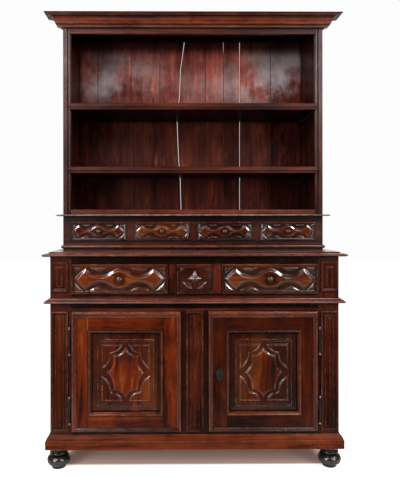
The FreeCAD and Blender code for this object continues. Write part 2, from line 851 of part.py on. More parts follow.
def door_mouldings():
    """The moulding round the door's edge and the one round its panel."""
    side = size.door_edge_moulding_width
    edge = frame_ring(
        (door_inner, door_outer), (door_bottom, door_top),
        [side, side, side, size.door_top_moulding_width], DOOR_EDGE_SHARES,
        door_face, size.door_moulding_rise)
    inner_width = size.panel_moulding_width
    panel = frame_ring(
        panel_x, panel_z, [inner_width] * 4, PANEL_RING_SHARES, door_face, size.panel_moulding_rise)
    return [edge, panel]


# The eight-pointed star: half-size shares of its points.
STAR_SHARES = [
    (0.0, 1.0), (0.67, 0.70), (1.0, 0.0), (0.67, -0.70),
    (0.0, -1.0), (-0.67, -0.70), (-1.0, 0.0), (-0.67, 0.70),
]
# Half-sizes of the star and places of the corner pieces, as shares of the field's half width and height.
STAR_HALF_SHARES = (0.614, 0.690)
SPANDREL_SIDE_SHARES = (0.869, 0.861)
SPANDREL_TIP_SHARES = (0.494, 0.544)
# How fast the pointed end of a corner piece draws back from its foot to its top.
SPANDREL_POINT_SHARE = 2
field_edge = size.panel_moulding_width + size.panel_bevel
field_half_x = (panel_x[1] - panel_x[0]) / 2 - field_edge
field_half_z = (panel_z[1] - panel_z[0]) / 2 - field_edge


def field_places(shares):
    """A place on the panel's field from its shares of the half width and the half height."""
    return float(field_half_x) * shares[0], float(field_half_z) * shares[1]


def star_outline(centre_x, centre_z, inset):
    """Eight points joined by arcs that bow towards the middle."""
    half_x, half_z = field_places(STAR_HALF_SHARES)
    bow = -float(size.star_bow)
    return [(centre_x + (half_x - inset) * x, centre_z + (half_z - inset) * z, bow) for x, z in STAR_SHARES]


def spandrel_outline(inset):
    """A corner piece beside the star: two straight sides and two arcs that follow the star."""
    side_x, side_z = field_places(SPANDREL_SIDE_SHARES)
    tip_x, tip_z = field_places(SPANDREL_TIP_SHARES)
    end = float(size.spandrel_end_gap) + SPANDREL_POINT_SHARE * inset
    bow = -float(size.star_bow)
    return [
        (side_x - inset, side_z - inset, 0), (end, side_z - inset, bow),
        (tip_x + inset, tip_z + inset, bow), (side_x - inset, end, 0),
    ]


def door_panel():
    """A raised and fielded panel with the star and four corner pieces carved on it."""
    face = door_face + size.panel_recess
    panel = block(panel_x, (face, face + size.panel_thickness), panel_z)
    inset = size.panel_moulding_width
    low = [(panel_x[0] + inset, panel_z[0] + inset), (panel_x[1] - inset, panel_z[1] - inset)]
    high = [
        (panel_x[0] + field_edge, panel_z[0] + field_edge),
        (panel_x[1] - field_edge, panel_z[1] - field_edge),
    ]
    field_face = face - size.panel_field_rise
    field = upright_solid(ruled(rectangle(low, face), rectangle(high, field_face)))
    centre_x = float(panel_x[0] + panel_x[1]) / 2
    centre_z = float(panel_z[0] + panel_z[1]) / 2
    forms = [relief(
        star_outline(centre_x, centre_z, 0), star_outline(centre_x, centre_z, float(size.star_bevel)),
        field_face, size.star_rise)]
    corner_outlines = (spandrel_outline(0), spandrel_outline(float(size.spandrel_bevel)))
    for side in (-1, 1):
        for up in (-1, 1):
            low_corner, high_corner = [
                [(centre_x + side * x, centre_z + up * z, side * up * bow) for x, z, bow in outline]
                for outline in corner_outlines
            ]
            forms.append(relief(low_corner, high_corner, field_face, size.spandrel_rise))
    return panel.fuse([field] + forms).removeSplitter().Solids


def make_doors():
    panel = door_panel()
    mouldings = door_mouldings()
    shape_node("right_door_frame", door_frame(True))
    shape_node("left_door_frame", [mirrored(solid) for solid in door_frame(False)])
    shape_node("right_door_panel", panel)
    shape_node("left_door_panel", [mirrored(solid) for solid in panel])
    shape_node("right_door_mouldings", mouldings)
    shape_node("left_door_mouldings", [mirrored(solid) for solid in mouldings])


# Door furniture


def hinge_parts(level):
    """One pin hinge of the right door: what the post holds, and what the door holds."""
    axis_x = door_outer + size.hinge_offset
    axis_y = front - size.hinge_standoff
    radius, pin = float(size.hinge_barrel_radius), float(size.hinge_pin_radius)
    axis_foot = point(axis_x, axis_y, level)
    up = FreeCAD.Vector(0, 0, 1)
    lower, upper = float(size.hinge_lower_barrel), float(size.hinge_upper_barrel)
    gap, finial = float(size.hinge_end_gap), float(size.hinge_finial_height)
    knuckle_foot = lower + gap
    finial_foot = knuckle_foot + upper + gap
    barrel = Part.makeCylinder(radius, lower, axis_foot, up)
    shaft = Part.makeCylinder(pin, finial_foot, axis_foot, up)
    top = finial_shape(radius, finial)
    top.translate(axis_foot + up * finial_foot)
    below = finial_shape(radius, finial).mirror(FreeCAD.Vector(0, 0, 0), up)
    below.translate(axis_foot)
    plate = block(
        (axis_x - size.hinge_barrel_radius, axis_x + size.hinge_barrel_radius),
        (axis_y + size.hinge_barrel_radius - size.hinge_plate_sink, front),
        (level, level + size.hinge_lower_barrel))
    pintle = barrel.fuse([shaft, top, below, plate]).removeSplitter().Solids[0]
    knuckle_axis = axis_foot + up * knuckle_foot
    knuckle = Part.makeCylinder(radius, upper, knuckle_axis, up)
    arm_y = (axis_y + size.hinge_leaf_thickness, axis_y + size.hinge_leaf_thickness * 2)
    upright = (level + knuckle_foot, level + knuckle_foot + upper)
    arm = block((door_outer, axis_x), arm_y, upright)
    leaf_x = (door_outer, door_outer + size.hinge_leaf_thickness)
    leaf = block(leaf_x, (arm_y[0], front + size.hinge_leaf_depth), upright)
    bore = Part.makeCylinder(pin + float(size.hinge_fit), upper, knuckle_axis, up)
    door_part = knuckle.fuse([arm, leaf]).cut(bore).removeSplitter().Solids[0]
    return pintle, door_part


# Finial of a hinge: share of the barrel's radius, share of the finial's height.
FINIAL_SHARES = [
    (0.0, 0.0), (1.0, 0.0), (1.08, 0.08), (1.08, 0.2), (0.7, 0.3), (0.6, 0.42),
    (1.05, 0.58), (1.05, 0.72), (0.5, 0.9), (0.3, 1.0), (0.0, 1.0),
]


def finial_shape(radius, height):
    """A ring, a neck and a small ball on the end of the pin."""
    return turned([(radius * out, height * up) for out, up in FINIAL_SHARES])


def make_hinges():
    levels = (door_top - size.upper_hinge_drop, door_bottom + size.lower_hinge_lift)
    pairs = [hinge_parts(level) for level in levels]
    pintles = [pair[0] for pair in pairs]
    knuckles = [pair[1] for pair in pairs]
    shape_node("hinge_pintles", both_sides(pintles))
    shape_node("right_hinge_knuckles", knuckles)
    shape_node("left_hinge_knuckles", [mirrored(knuckle) for knuckle in knuckles])


# How far the bolt's foot is above the keyhole, as a share of the lock case's height.
BOLT_LIFT_SHARE = 0.125


def make_lock():
    """A small iron lock on the right door: its case, keyhole plate and sliding bolt."""
    half_high = size.lock_case_height / 2
    case_edge = door_inner + size.lock_case_setback
    case_x = (case_edge, case_edge + size.lock_case_width)
    case_y = (door_back, door_back + size.lock_case_depth)
    case = block(case_x, case_y, (keyhole_level - half_high, keyhole_level + half_high))
    bolt_low = keyhole_level + size.lock_case_height * BOLT_LIFT_SHARE
    bolt_front = case_y[0] + size.lock_wall + size.lock_fit
    bolt_y = (bolt_front, bolt_front + size.lock_bolt_depth)
    channel = block(
        (case_x[0] - size.lock_fit, case_x[1] - size.lock_wall),
        (bolt_y[0] - size.lock_fit, bolt_y[1] + size.lock_fit),
        (bolt_low - size.lock_fit, bolt_low + size.lock_bolt_height + size.lock_fit))
    case = case.cut([channel, keyhole_core(case_y[0], case_y[0] + size.lock_wall)])
    bolt = block(
        (case_edge, case_edge + size.lock_bolt_length), bolt_y, (bolt_low, bolt_low + size.lock_bolt_height))
    shape_node("door_lock", case.Solids + [keyhole_plate()])
    shape_node("lock_bolt", [bolt])


# Keyhole plate outline: half-width and half-height shares, with the bow of the stretch after each.
PLATE_SHARES = [
    (0.0, 1.0, 0.06), (0.62, 0.70, 0.04), (1.0, 0.20, -0.05), (0.62, -0.45, -0.04), (0.0, -1.0, -0.04),
    (-0.62, -0.45, -0.05), (-1.0, 0.20, 0.04), (-0.62, 0.70, 0.06),
]


def keyhole_plate():
    half_x, half_z = float(size.escutcheon_width) / 2, float(size.escutcheon_height) / 2
    centre_x, centre_z = float(keyhole_x), float(keyhole_level)
    outline = [(centre_x + half_x * x, centre_z + half_z * z, half_z * bow) for x, z, bow in PLATE_SHARES]
    face = Part.Face(curved_wire(outline, float(door_face)))
    plate = face.extrude(point(0, -size.escutcheon_thickness, 0))
    return plate.cut(keyhole_core(door_face - size.escutcheon_thickness, door_face)).Solids[0]


def make_turn_button():
    """A wooden button on a screw inside the left door; turned level it holds the door shut."""
    pivot_x = -(door_inner + size.button_inset)
    button_level = door_bottom + size.button_lift
    start = point(pivot_x, door_back, button_level)
    inwards = FreeCAD.Vector(0, 1, 0)
    pin, gap = float(size.button_pin_radius), float(size.lock_fit)
    standoff, thick = float(size.button_standoff), float(size.button_thickness)
    head_radius = float(size.button_pin_head_radius)
    collar = Part.makeCylinder(head_radius, standoff - gap, start, inwards)
    shank = Part.makeCylinder(pin, standoff + thick + gap, start, inwards)
    cap_start = start + inwards * (standoff + thick + gap)
    cap = Part.makeCylinder(head_radius, float(size.button_pin_head), cap_start, inwards)
    shape_node("turn_button_screw", [collar.fuse([shank, cap]).removeSplitter().Solids[0]])
    half_wide, half_long = float(size.button_width) / 2, float(size.button_length) / 2
    x, straight = float(pivot_x), half_long - half_wide
    level = float(button_level)
    outline = [
        (x + half_wide, level - straight, 0), (x + half_wide, level + straight, half_wide),
        (x - half_wide, level + straight, 0), (x - half_wide, level - straight, half_wide),
    ]
    wire = curved_wire(outline, float(door_back + size.button_standoff))
    button = Part.Face(wire).extrude(inwards * thick)
    hole = Part.makeCylinder(pin + float(size.button_fit), standoff + 2 * thick, start, inwards)
    shape_node("turn_button", [button.cut(hole).Solids[0]])


# Drawers

DRAWER_RING_SHARES = [
    (0.0, 0.0), (0.0, 0.5), (0.16, 1.0), (0.52, 0.85), (0.66, 0.45), (1.0, 0.35), (1.0, 0.0),
]
# Ribbon: shares of the drawer's width and height for its tips, lobes, swell and the bow of its hollows.
RIBBON_TIP_SHARE = 0.445
RIBBON_LOBE_SHARE = 0.335
RIBBON_SWELL_SHARE = 0.055
RIBBON_HEIGHT_SHARE = 0.355
RIBBON_HOLLOW_SHARE = 0.15
RIBBON_END_BOW_SHARE = 0.02
# How fast the ribbon's tips, and its lobes and swell, draw back from its foot to its top.
RIBBON_TIP_SLOPE_SHARE = 1.4
RIBBON_LOBE_SLOPE_SHARE = 0.3
# Four-pointed boss of the centre drawer.
BOSS_TIP_SHARES = (0.40, 0.385)
BOSS_BOW_SHARE = 0.10
BOSS_SLOPE_SHARE = 2.6
# Lens pieces above and below the ribbon, and the corner pieces.
LENS_MARGIN_SHARE = 0.30
CORNER_SHARE = 0.085
CORNER_SLOPE_SHARE = 2.4
# Bevel of the lens and corner pieces: share of the ribbon's bevel.
SMALL_BEVEL_SHARE = 0.25


def ribbon_outline(width, height, inset):
    """A ribbon with two pointed ends, hollows above and below, and a swell round the knob."""
    tip = width * RIBBON_TIP_SHARE - RIBBON_TIP_SLOPE_SHARE * inset
    lobe = width * RIBBON_LOBE_SHARE - RIBBON_LOBE_SLOPE_SHARE * inset
    swell = width * RIBBON_SWELL_SHARE - RIBBON_LOBE_SLOPE_SHARE * inset
    high = height * RIBBON_HEIGHT_SHARE - inset
    hollow = height * RIBBON_HOLLOW_SHARE
    end_bow = height * RIBBON_END_BOW_SHARE
    return [
        (-tip, 0, -end_bow), (-lobe, high, -hollow), (-swell, high, end_bow), (swell, high, -hollow),
        (lobe, high, -end_bow), (tip, 0, -end_bow), (lobe, -high, -hollow), (swell, -high, end_bow),
        (-swell, -high, -hollow), (-lobe, -high, -end_bow),
    ]


def boss_outline(width, height, inset):
    """Four points joined by arcs that bow towards the middle."""
    shrink = 1 - BOSS_SLOPE_SHARE * inset / height
    tip_x = width * BOSS_TIP_SHARES[0] * shrink
    tip_z = height * BOSS_TIP_SHARES[1] * shrink
    bow = -height * BOSS_BOW_SHARE * shrink
    return [(-tip_x, 0, bow), (0, tip_z, bow), (tip_x, 0, bow), (0, -tip_z, bow)]


def lens_outline(width, height, border, inset):
    """The piece above a hollow of the ribbon: a straight top and a bowed lower side."""
    left = width * RIBBON_SWELL_SHARE + height * RIBBON_HOLLOW_SHARE * LENS_MARGIN_SHARE + inset
    right = width * RIBBON_LOBE_SHARE - height * RIBBON_HOLLOW_SHARE * LENS_MARGIN_SHARE - inset
    top = height / 2 - border
    return [(left, top, 0), (right, top, height * RIBBON_HOLLOW_SHARE - inset)]


def corner_outline(width, height, border, inset):
    """The three-sided piece in each corner of the drawer's field."""
    side, top = width / 2 - border, height / 2 - border
    reach = width * CORNER_SHARE - CORNER_SLOPE_SHARE * inset
    drop = height * (0.5 - RIBBON_HOLLOW_SHARE) - border - CORNER_SLOPE_SHARE * inset
    return [(side, top, 0), (side, top - drop, 0), (side - reach, top, 0)]


def carved_front(width, height, outline_maker, border):
    """A drawer front centred on the origin, with its face at zero and the carving towards -Y."""
    inset = float(size.drawer_ribbon_bevel) * height / float(size.base_drawer_height)
    half_x, half_z = width / 2, height / 2
    slab = block((-half_x, half_x), (0, size.drawer_front_thickness), (-half_z, half_z))
    ring = frame_ring(
        (-half_x, half_x), (-half_z, half_z), [border] * 4, DRAWER_RING_SHARES, 0, size.drawer_border_rise)
    forms = [ring, relief(
        outline_maker(width, height, 0), outline_maker(width, height, inset), 0, size.drawer_ribbon_rise)]
    small = inset * SMALL_BEVEL_SHARE
    pieces = [(corner_outline, side, up) for side in (-1, 1) for up in (-1, 1)]
    if outline_maker is ribbon_outline:
        pieces += [(lens_outline, side, up) for side in (-1, 1) for up in (-1, 1)]
    for maker, side, up in pieces:
        low, high = [
            [(side * x, up * z, side * up * bow) for x, z, bow in maker(width, height, border, step)]
            for step in (0, small)
        ]
        forms.append(relief(low, high, 0, size.drawer_spandrel_rise))
    return slab.fuse(forms).removeSplitter().Solids[0]


def drawer_box(width, low, high, box_front, box_back):
    """Two sides, a back and a bottom, as four boards, centred across."""
    half_x = width / 2 - float(size.drawer_side_inset)
    thick = float(size.drawer_side_thickness)
    floor_low = float(low) + float(size.drawer_bottom_lift)
    floor_high = floor_low + float(size.drawer_bottom_thickness)
    inner = half_x - thick
    rear = float(box_back) - thick
    return [
        block((-half_x, -inner), (box_front, box_back), (low, high)),
        block((inner, half_x), (box_front, box_back), (low, high)),
        block((-inner, inner), (rear, box_back), (floor_high, high)),
        block((-inner, inner), (box_front, box_back), (floor_low, floor_high)),
    ]


def knob_body(label, radius, length):
    """A turned knob; its foot is at the origin and it stands up the axis."""
    outline = [(zero, zero)] + [(radius * r, length * along) for r, along in KNOB_SHARES] + [(zero, length)]
    return turned_body(label, outline)


def make_drawer(name, front_shape, width, centre_x, span, run, knob):
    """Place one drawer: its carved front, its box and its knob."""
    low, high, box_low, box_high = [float(level) for level in span]
    face, box_back = [float(place) for place in run]
    place = FreeCAD.Vector(float(centre_x), face, (low + high) / 2)
    carved = front_shape.copy()
    carved.translate(place)
    shape_node(f"{name}_front", [carved])
    boards = drawer_box(width, box_low, box_high, face + float(size.drawer_front_thickness), box_back)
    for piece in boards:
        piece.translate(FreeCAD.Vector(float(centre_x), 0, 0))
    shape_node(f"{name}_box", boards)
    turned_knob = knob.Shape.Solids[0].copy()
    turned_knob.rotate(FreeCAD.Vector(0, 0, 0), FreeCAD.Vector(1, 0, 0), 90)
    turned_knob.translate(place - FreeCAD.Vector(0, float(size.drawer_ribbon_rise), 0))
    shape_node(f"{name}_knob", [turned_knob])


def make_base_drawers():
    wide = float(wide_drawer_outer - wide_drawer_inner)
    narrow = float(size.centre_drawer_width)
    height = float(size.base_drawer_height)
    border = float(size.drawer_border_width)
    wide_front = carved_front(wide, height, ribbon_outline, border)
    narrow_front = carved_front(narrow, height, boss_outline, border)
    knob = knob_body("base_knob_turning", size.base_knob_radius, size.base_knob_length)
    box_low = middle_rail_top + size.drawer_slide_gap
    span = (base_drawer_bottom, base_drawer_top, box_low, base_drawer_top - size.drawer_side_drop)
    run = (front, rear_rail_front - size.drawer_rear_gap)
    wide_middle = (wide_drawer_inner + wide_drawer_outer) / 2
    make_drawer("base_left_drawer", wide_front, wide, -wide_middle, span, run, knob)
    make_drawer("base_centre_drawer", narrow_front, narrow, zero, span, run, knob)
    make_drawer("base_right_drawer", wide_front, wide, wide_middle, span, run, knob)


# Rack: the case of small drawers


def rack_drawer_places():
    """The middle of each of the four drawers and the width of one, between the posts."""
    count = RACK_DRAWER_COUNT
    opening = (rack_stile_inner * 2 - size.rack_drawer_divider_width * (count - 1)) / count
    step = opening + size.rack_drawer_divider_width
    first = opening / 2 - rack_stile_inner
    return [first + step * here for here in range(count)], opening - size.rack_drawer_clearance * 2, opening


def make_rack_case():
    across = (-rack_stile_inner, rack_stile_inner)
    rail_deep = (rack_front, rack_rail_back)
    upright = (worktop_top, waist_board_bottom)
    behind = (rack_rail_back, rack_back)
    rails = [
        board("drawer_lower_rail", across, rail_deep, (worktop_top, rack_drawer_floor)),
        board("drawer_upper_rail", across, rail_deep, (rack_upper_rail_bottom, waist_board_bottom)),
    ]
    posts = board_pair("drawer_case_post", (rack_stile_inner, rack_half), rail_deep, upright)
    floor = board(
        "drawer_case_floor", (-rack_side_inner, rack_side_inner), behind,
        (rack_drawer_floor - size.rack_case_floor_thickness, rack_drawer_floor))
    middles, _, opening = rack_drawer_places()
    divider_high = (rack_drawer_floor, rack_upper_rail_bottom)
    dividers = []
    partitions = []
    for here, middle in enumerate(middles[:-1], start=1):
        edge = middle + opening / 2
        line = edge + size.rack_drawer_divider_width / 2
        half = size.rack_partition_thickness / 2
        dividers.append(board(
            f"drawer_divider_{here}", (edge, edge + size.rack_drawer_divider_width), rail_deep,
            divider_high))
        partitions.append(board(
            f"drawer_partition_{here}", (line - half, line + half), behind,
            (rack_drawer_floor, waist_board_bottom)))
    board_node("rack_case_front_frame", rails + posts + dividers)
    board_node("rack_case_floor_and_partitions", [floor] + partitions)
    bead = scaled_profile(BEAD_SHARES, size.foot_bead_projection, size.foot_bead_height)
    shape_node("rack_foot_bead", wrapped_moulding(
        rack_half, rack_front, back, worktop_top + size.foot_bead_lift, bead))


def make_rack_drawers():
    middles, width, _ = rack_drawer_places()
    width = float(width)
    height = float(size.rack_drawer_height)
    carved = carved_front(width, height, ribbon_outline, float(size.rack_drawer_border_width))
    knob = knob_body("rack_knob_turning", size.rack_knob_radius, size.rack_knob_length)
    box_low = rack_drawer_floor + size.drawer_slide_gap
    span = (rack_drawer_bottom, rack_drawer_top, box_low, rack_drawer_top - size.drawer_side_drop)
    run = (rack_front, rack_back - size.drawer_rear_gap)
    for here, middle in enumerate(middles, start=1):
        make_drawer(f"rack_drawer_{here}", carved, width, middle, span, run, knob)


# Rack: the open shelves

shelf_levels = (size.lower_shelf_level, size.upper_shelf_level)
shelf_lift = (size.shelf_moulding_height - size.shelf_thickness) / 2


def make_waist_board():
    slab = moulded_slab(
        rack_half, rack_front, rack_back, waist_board_bottom, size.waist_board_thickness,
        size.waist_board_projection, size.waist_board_projection, WAIST_EDGE_SHARES)
    strip = block(
        (-rack_stile_inner, rack_stile_inner), (rack_front, rack_front + size.waist_strip_thickness),
        (waist_board_top, waist_board_top + size.waist_strip_height))
    shape_node("waist_board", [slab, strip])


def pointed_outline(level):
    """The face of a shelf moulding: a long strip whose ends come to a point over the stiles."""
    reach = float(rack_stile_inner)
    tip = reach + float(size.shelf_moulding_point)
    low = float(level)
    high = low + float(size.shelf_moulding_height)
    middle = (low + high) / 2
    return [(reach, low), (tip, middle), (reach, high), (-reach, high), (-tip, middle), (-reach, low)]


def pointed_prism(level, near, far):
    points = [point(x, near, z) for x, z in pointed_outline(level)]
    return extruded(points, point(0, far - near, 0))


def shelf_moulding(level):
    """A symmetrical moulding with a ridge along its middle, planted on the shelf's front edge."""
    face_back = rack_front + size.shelf_moulding_thickness
    profile = scaled_profile(SHELF_EDGE_SHARES, size.shelf_moulding_projection, size.shelf_moulding_height)
    tip = float(rack_stile_inner + size.shelf_moulding_point)
    section = [point(-tip, float(rack_front) - out, float(level) + up) for out, up in profile]
    section += [
        point(-tip, face_back, level + size.shelf_moulding_height),
        point(-tip, face_back, level),
    ]
    strip = extruded(section, FreeCAD.Vector(2 * tip, 0, 0))
    strip = strip.common(pointed_prism(level, rack_front - size.shelf_moulding_projection, face_back))
    core = block(
        (-rack_stile_inner, rack_stile_inner), (face_back, rack_stile_back),
        (level, level + size.shelf_moulding_height))
    return strip.fuse(core).removeSplitter().Solids[0]


def make_shelves():
    shape_node("shelf_mouldings", [shelf_moulding(level) for level in shelf_levels])
    behind = (rack_stile_back, rack_back)
    shelves = []
    cleats = []
    for name, level in zip(("lower", "upper"), shelf_levels):
        low = level + shelf_lift
        shelves.append(board(
            f"{name}_shelf", (-rack_side_inner, rack_side_inner), behind, (low, low + size.shelf_thickness)))
        cleats += board_pair(
            f"{name}_shelf_cleat", (rack_side_inner - size.shelf_cleat_width, rack_side_inner), behind,
            (low - size.shelf_cleat_height, low))
    board_node("rack_shelves", shelves + cleats)


def rack_stile():
    """The right stile: a rounded bead by the opening, a groove, and a flat, notched at each shelf."""
    inner, outer = float(rack_stile_inner), float(rack_half)
    bead, groove = float(size.rack_stile_bead), float(size.rack_stile_groove)
    relief_depth, face, rear = float(size.rack_stile_relief), float(rack_front), float(rack_stile_back)
    low = float(waist_board_top)
    run = float(rack_top) - low
    groove_in = inner + bead
    groove_out = groove_in + groove
    bead_sides = [
        (inner + bead * share, face + relief_depth * (1 - math.sin(math.pi * share)))
        for share in STILE_BEAD_SHARES
    ]
    outline = [(inner, rear)] + bead_sides
    outline += [
        (groove_out - groove * GROOVE_SLOPE_SHARE, face + relief_depth), (groove_out, face),
        (outer, face), (outer, rear),
    ]
    stile = extruded([point(x, y, low) for x, y in outline], FreeCAD.Vector(0, 0, run))
    near = rack_front - size.shelf_moulding_projection
    far = rack_front + size.shelf_moulding_thickness
    notches = [pointed_prism(level, near, far) for level in shelf_levels]
    return stile.cut(notches).removeSplitter().Solids[0]


def make_rack_frame():
    shape_node("rack_stiles", both_sides([rack_stile()]))
    across = (rack_side_inner, rack_half)
    upright = (waist_board_top, rack_top)
    case_upright = (worktop_top, waist_board_bottom)
    board_node(
        "rack_sides",
        board_pair("rack_side", across, (rack_stile_back, rack_back), upright)
        + board_pair("drawer_case_side", across, (rack_rail_back, rack_back), case_upright))
    frieze = board(
        "frieze_rail", (-rack_stile_inner, rack_stile_inner), (rack_front, rack_stile_back),
        (frieze_bottom, rack_top))
    top = board(
        "top_board", (-rack_half, rack_half), (rack_front, back),
        (rack_top, rack_top + size.rack_top_thickness))
    board_node("rack_top_and_frieze", [frieze, top])
    cornice = scaled_profile(CORNICE_SHARES, size.cornice_projection, size.cornice_height)
    shape_node("cornice", wrapped_moulding(
        rack_half, rack_front, rack_stile_back, cornice_bottom, cornice))


def make_back_boards():
    """Upright boards behind the rack; one joint has opened and one wide board has split."""
    half, low = float(rack_half), float(worktop_top)
    tall = float(size.rack_height)
    start = float(rack_back)
    thick = point(0, size.back_board_thickness, 0)
    boards = []
    left = -half
    for share in BACK_JOINT_SHARES + [None]:
        gap = float(size.rack_back_open_gap if share == OPEN_JOINT_SHARE else size.rack_back_gap)
        right = half if share is None else half * share - gap / 2
        upright = [(left, low), (right, low), (right, low + tall), (left, low + tall)]
        if left < half * CRACK_SHARES[0][0] < right:
            boards += split_board(left, right, low, tall)
        else:
            boards.append(upright)
        left = right + gap
    shape_node("rack_back_boards", [
        extruded([point(x, start, z) for x, z in outline], thick) for outline in boards
    ])


def split_board(left, right, low, tall):
    """The two halves of the split board, either side of a wandering crack."""
    half_gap = float(size.rack_back_crack) / 2
    line = [(float(rack_half) * across, low + tall * up) for across, up in CRACK_SHARES]
    left_half = [(left, low)] + [(x - half_gap, z) for x, z in line] + [(left, low + tall)]
    right_half = [(x + half_gap, z) for x, z in line] + [(right, low + tall), (right, low)]
    return [left_half, right_half]


# Building and writing out


def check_document():
    """Stop if any object failed, and if any node is empty or not valid."""
    for item in doc.Objects:
        if "Invalid" in item.State or "Error" in item.State:
            raise RuntimeError(f"{item.Label} failed to build")
    for node in nodes:
        if node.Shape.isNull() or not node.Shape.isValid() or not node.Shape.Solids:
            raise RuntimeError(f"{node.Label} has no valid solid")


def write_parts():
    os.makedirs("parts", exist_ok=True)
    for node in nodes:
        node.Shape.exportStep(os.path.join("parts", f"{node.Label}.step"))


for make in (
        make_feet, make_posts, make_front_frame, make_side_frames, make_rear, make_inside,
        make_worktop, make_base_mouldings, make_pilasters, make_doors, make_hinges, make_lock,
        make_turn_button, make_base_drawers, make_rack_case, make_rack_drawers, make_waist_board,
        make_shelves, make_rack_frame, make_back_boards):
    make()
doc.recompute()
check_document()
write_parts()
print(f"{len(nodes)} nodes written")
for node in nodes:
    box = node.Shape.BoundBox
    print(f"{node.Label}: {len(node.Shape.Solids)} solids, x {box.XMin:.1f} {box.XMax:.1f}, "
          f"y {box.YMin:.1f} {box.YMax:.1f}, z {box.ZMin:.1f} {box.ZMax:.1f}")
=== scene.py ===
"""A two-part walnut dresser: panelled base with carved doors and drawers, open plate rack above.

Metres throughout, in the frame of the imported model: X right, Y back, Z up, front towards -Y."""

import math

import bpy
import numpy as np
from mathutils import Matrix, Vector


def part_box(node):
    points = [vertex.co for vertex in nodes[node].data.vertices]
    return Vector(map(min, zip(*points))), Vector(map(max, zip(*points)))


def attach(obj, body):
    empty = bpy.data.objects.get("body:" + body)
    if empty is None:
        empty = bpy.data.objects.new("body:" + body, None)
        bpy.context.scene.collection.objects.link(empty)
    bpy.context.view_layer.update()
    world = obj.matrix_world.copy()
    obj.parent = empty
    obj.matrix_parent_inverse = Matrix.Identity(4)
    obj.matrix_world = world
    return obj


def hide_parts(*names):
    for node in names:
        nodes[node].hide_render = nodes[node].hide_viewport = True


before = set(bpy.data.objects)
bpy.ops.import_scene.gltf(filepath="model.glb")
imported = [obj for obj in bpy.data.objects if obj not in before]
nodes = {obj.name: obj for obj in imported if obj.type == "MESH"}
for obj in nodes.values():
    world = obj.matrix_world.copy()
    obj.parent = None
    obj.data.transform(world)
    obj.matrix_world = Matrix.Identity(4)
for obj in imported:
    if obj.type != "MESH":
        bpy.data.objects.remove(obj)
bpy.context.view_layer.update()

# The photograph's camera, from a fit to the known edges.
PHOTO_WIDTH = 400
PHOTO_HEIGHT = 478
CAMERA_PLACE = (-0.1064, -2.5326, 1.1801)
CAMERA_YAW = -0.0076
CAMERA_ROLL = -0.0011
FOCAL_PIXELS = 490.4
AXIS_COLUMN = 175.7
AXIS_ROW = 219.83
SENSOR = 36.0

# Lamps: name, place, where it points, width, height, watts.
LAMPS = [
    ("key_left", (-2.5, -2.9, 1.5), (0.0, -0.1, 1.1), 0.9, 1.2, 74.0),
    ("key_right", (2.6, -2.9, 1.5), (0.1, -0.1, 1.1), 0.9, 1.2, 46.0),
    ("high_left", (-1.45, -3.1, 2.9), (0.0, -0.1, 1.1), 0.9, 1.1, 40.0),
    ("high_right", (1.6, -3.0, 2.9), (0.1, -0.1, 1.2), 0.9, 1.1, 36.0),
    ("strip_left", (-2.36, -1.59, 2.68), (0.0, -0.25, 0.7), 0.22, 0.7, 70.0),
    ("strip_right", (2.45, -1.51, 2.63), (0.0, -0.25, 0.7), 0.22, 0.7, 60.0),
    ("back_fill", (0.9, 3.0, 4.4), (0.0, 0.26, 1.2), 1.6, 1.0, 70.0),
]
# Share of the world's white that reaches dull surfaces, and that which reflections see in front.
DULL_WORLD = 0.10
FRONT_WORLD = 0.03


# Camera, lamps and surroundings


def make_camera():
    """The camera looks level along the fitted yaw, and its shift puts the axis on the fitted pixel."""
    right = Vector((math.cos(CAMERA_YAW), math.sin(CAMERA_YAW), 0.0))
    ahead = Vector((-math.sin(CAMERA_YAW), math.cos(CAMERA_YAW), 0.0))
    up = Vector((0.0, 0.0, 1.0))
    across = right * math.cos(CAMERA_ROLL) + up * math.sin(CAMERA_ROLL)
    upright = up * math.cos(CAMERA_ROLL) - right * math.sin(CAMERA_ROLL)
    turn = Matrix((across, upright, -ahead)).transposed()
    data = bpy.data.cameras.new("camera")
    data.sensor_width = SENSOR
    data.lens = FOCAL_PIXELS / PHOTO_HEIGHT * SENSOR
    data.shift_x = (PHOTO_WIDTH / 2 - AXIS_COLUMN) / PHOTO_HEIGHT
    data.shift_y = -(PHOTO_HEIGHT / 2 - AXIS_ROW) / PHOTO_HEIGHT
    camera = bpy.data.objects.new("camera", data)
    camera.matrix_world = Matrix.Translation(CAMERA_PLACE) @ turn.to_4x4()
    bpy.context.scene.collection.objects.link(camera)
    bpy.context.scene.camera = camera


def make_lamp(name, place, target, width, height, watts):
    data = bpy.data.lights.new(name, "AREA")
    data.shape = "RECTANGLE"
    data.size = width
    data.size_y = height
    data.energy = watts
    lamp = bpy.data.objects.new(name, data)
    aim = Vector(target) - Vector(place)
    lamp.location = place
    lamp.rotation_euler = aim.to_track_quat("-Z", "Y").to_euler()
    bpy.context.scene.collection.objects.link(lamp)


# Node helpers

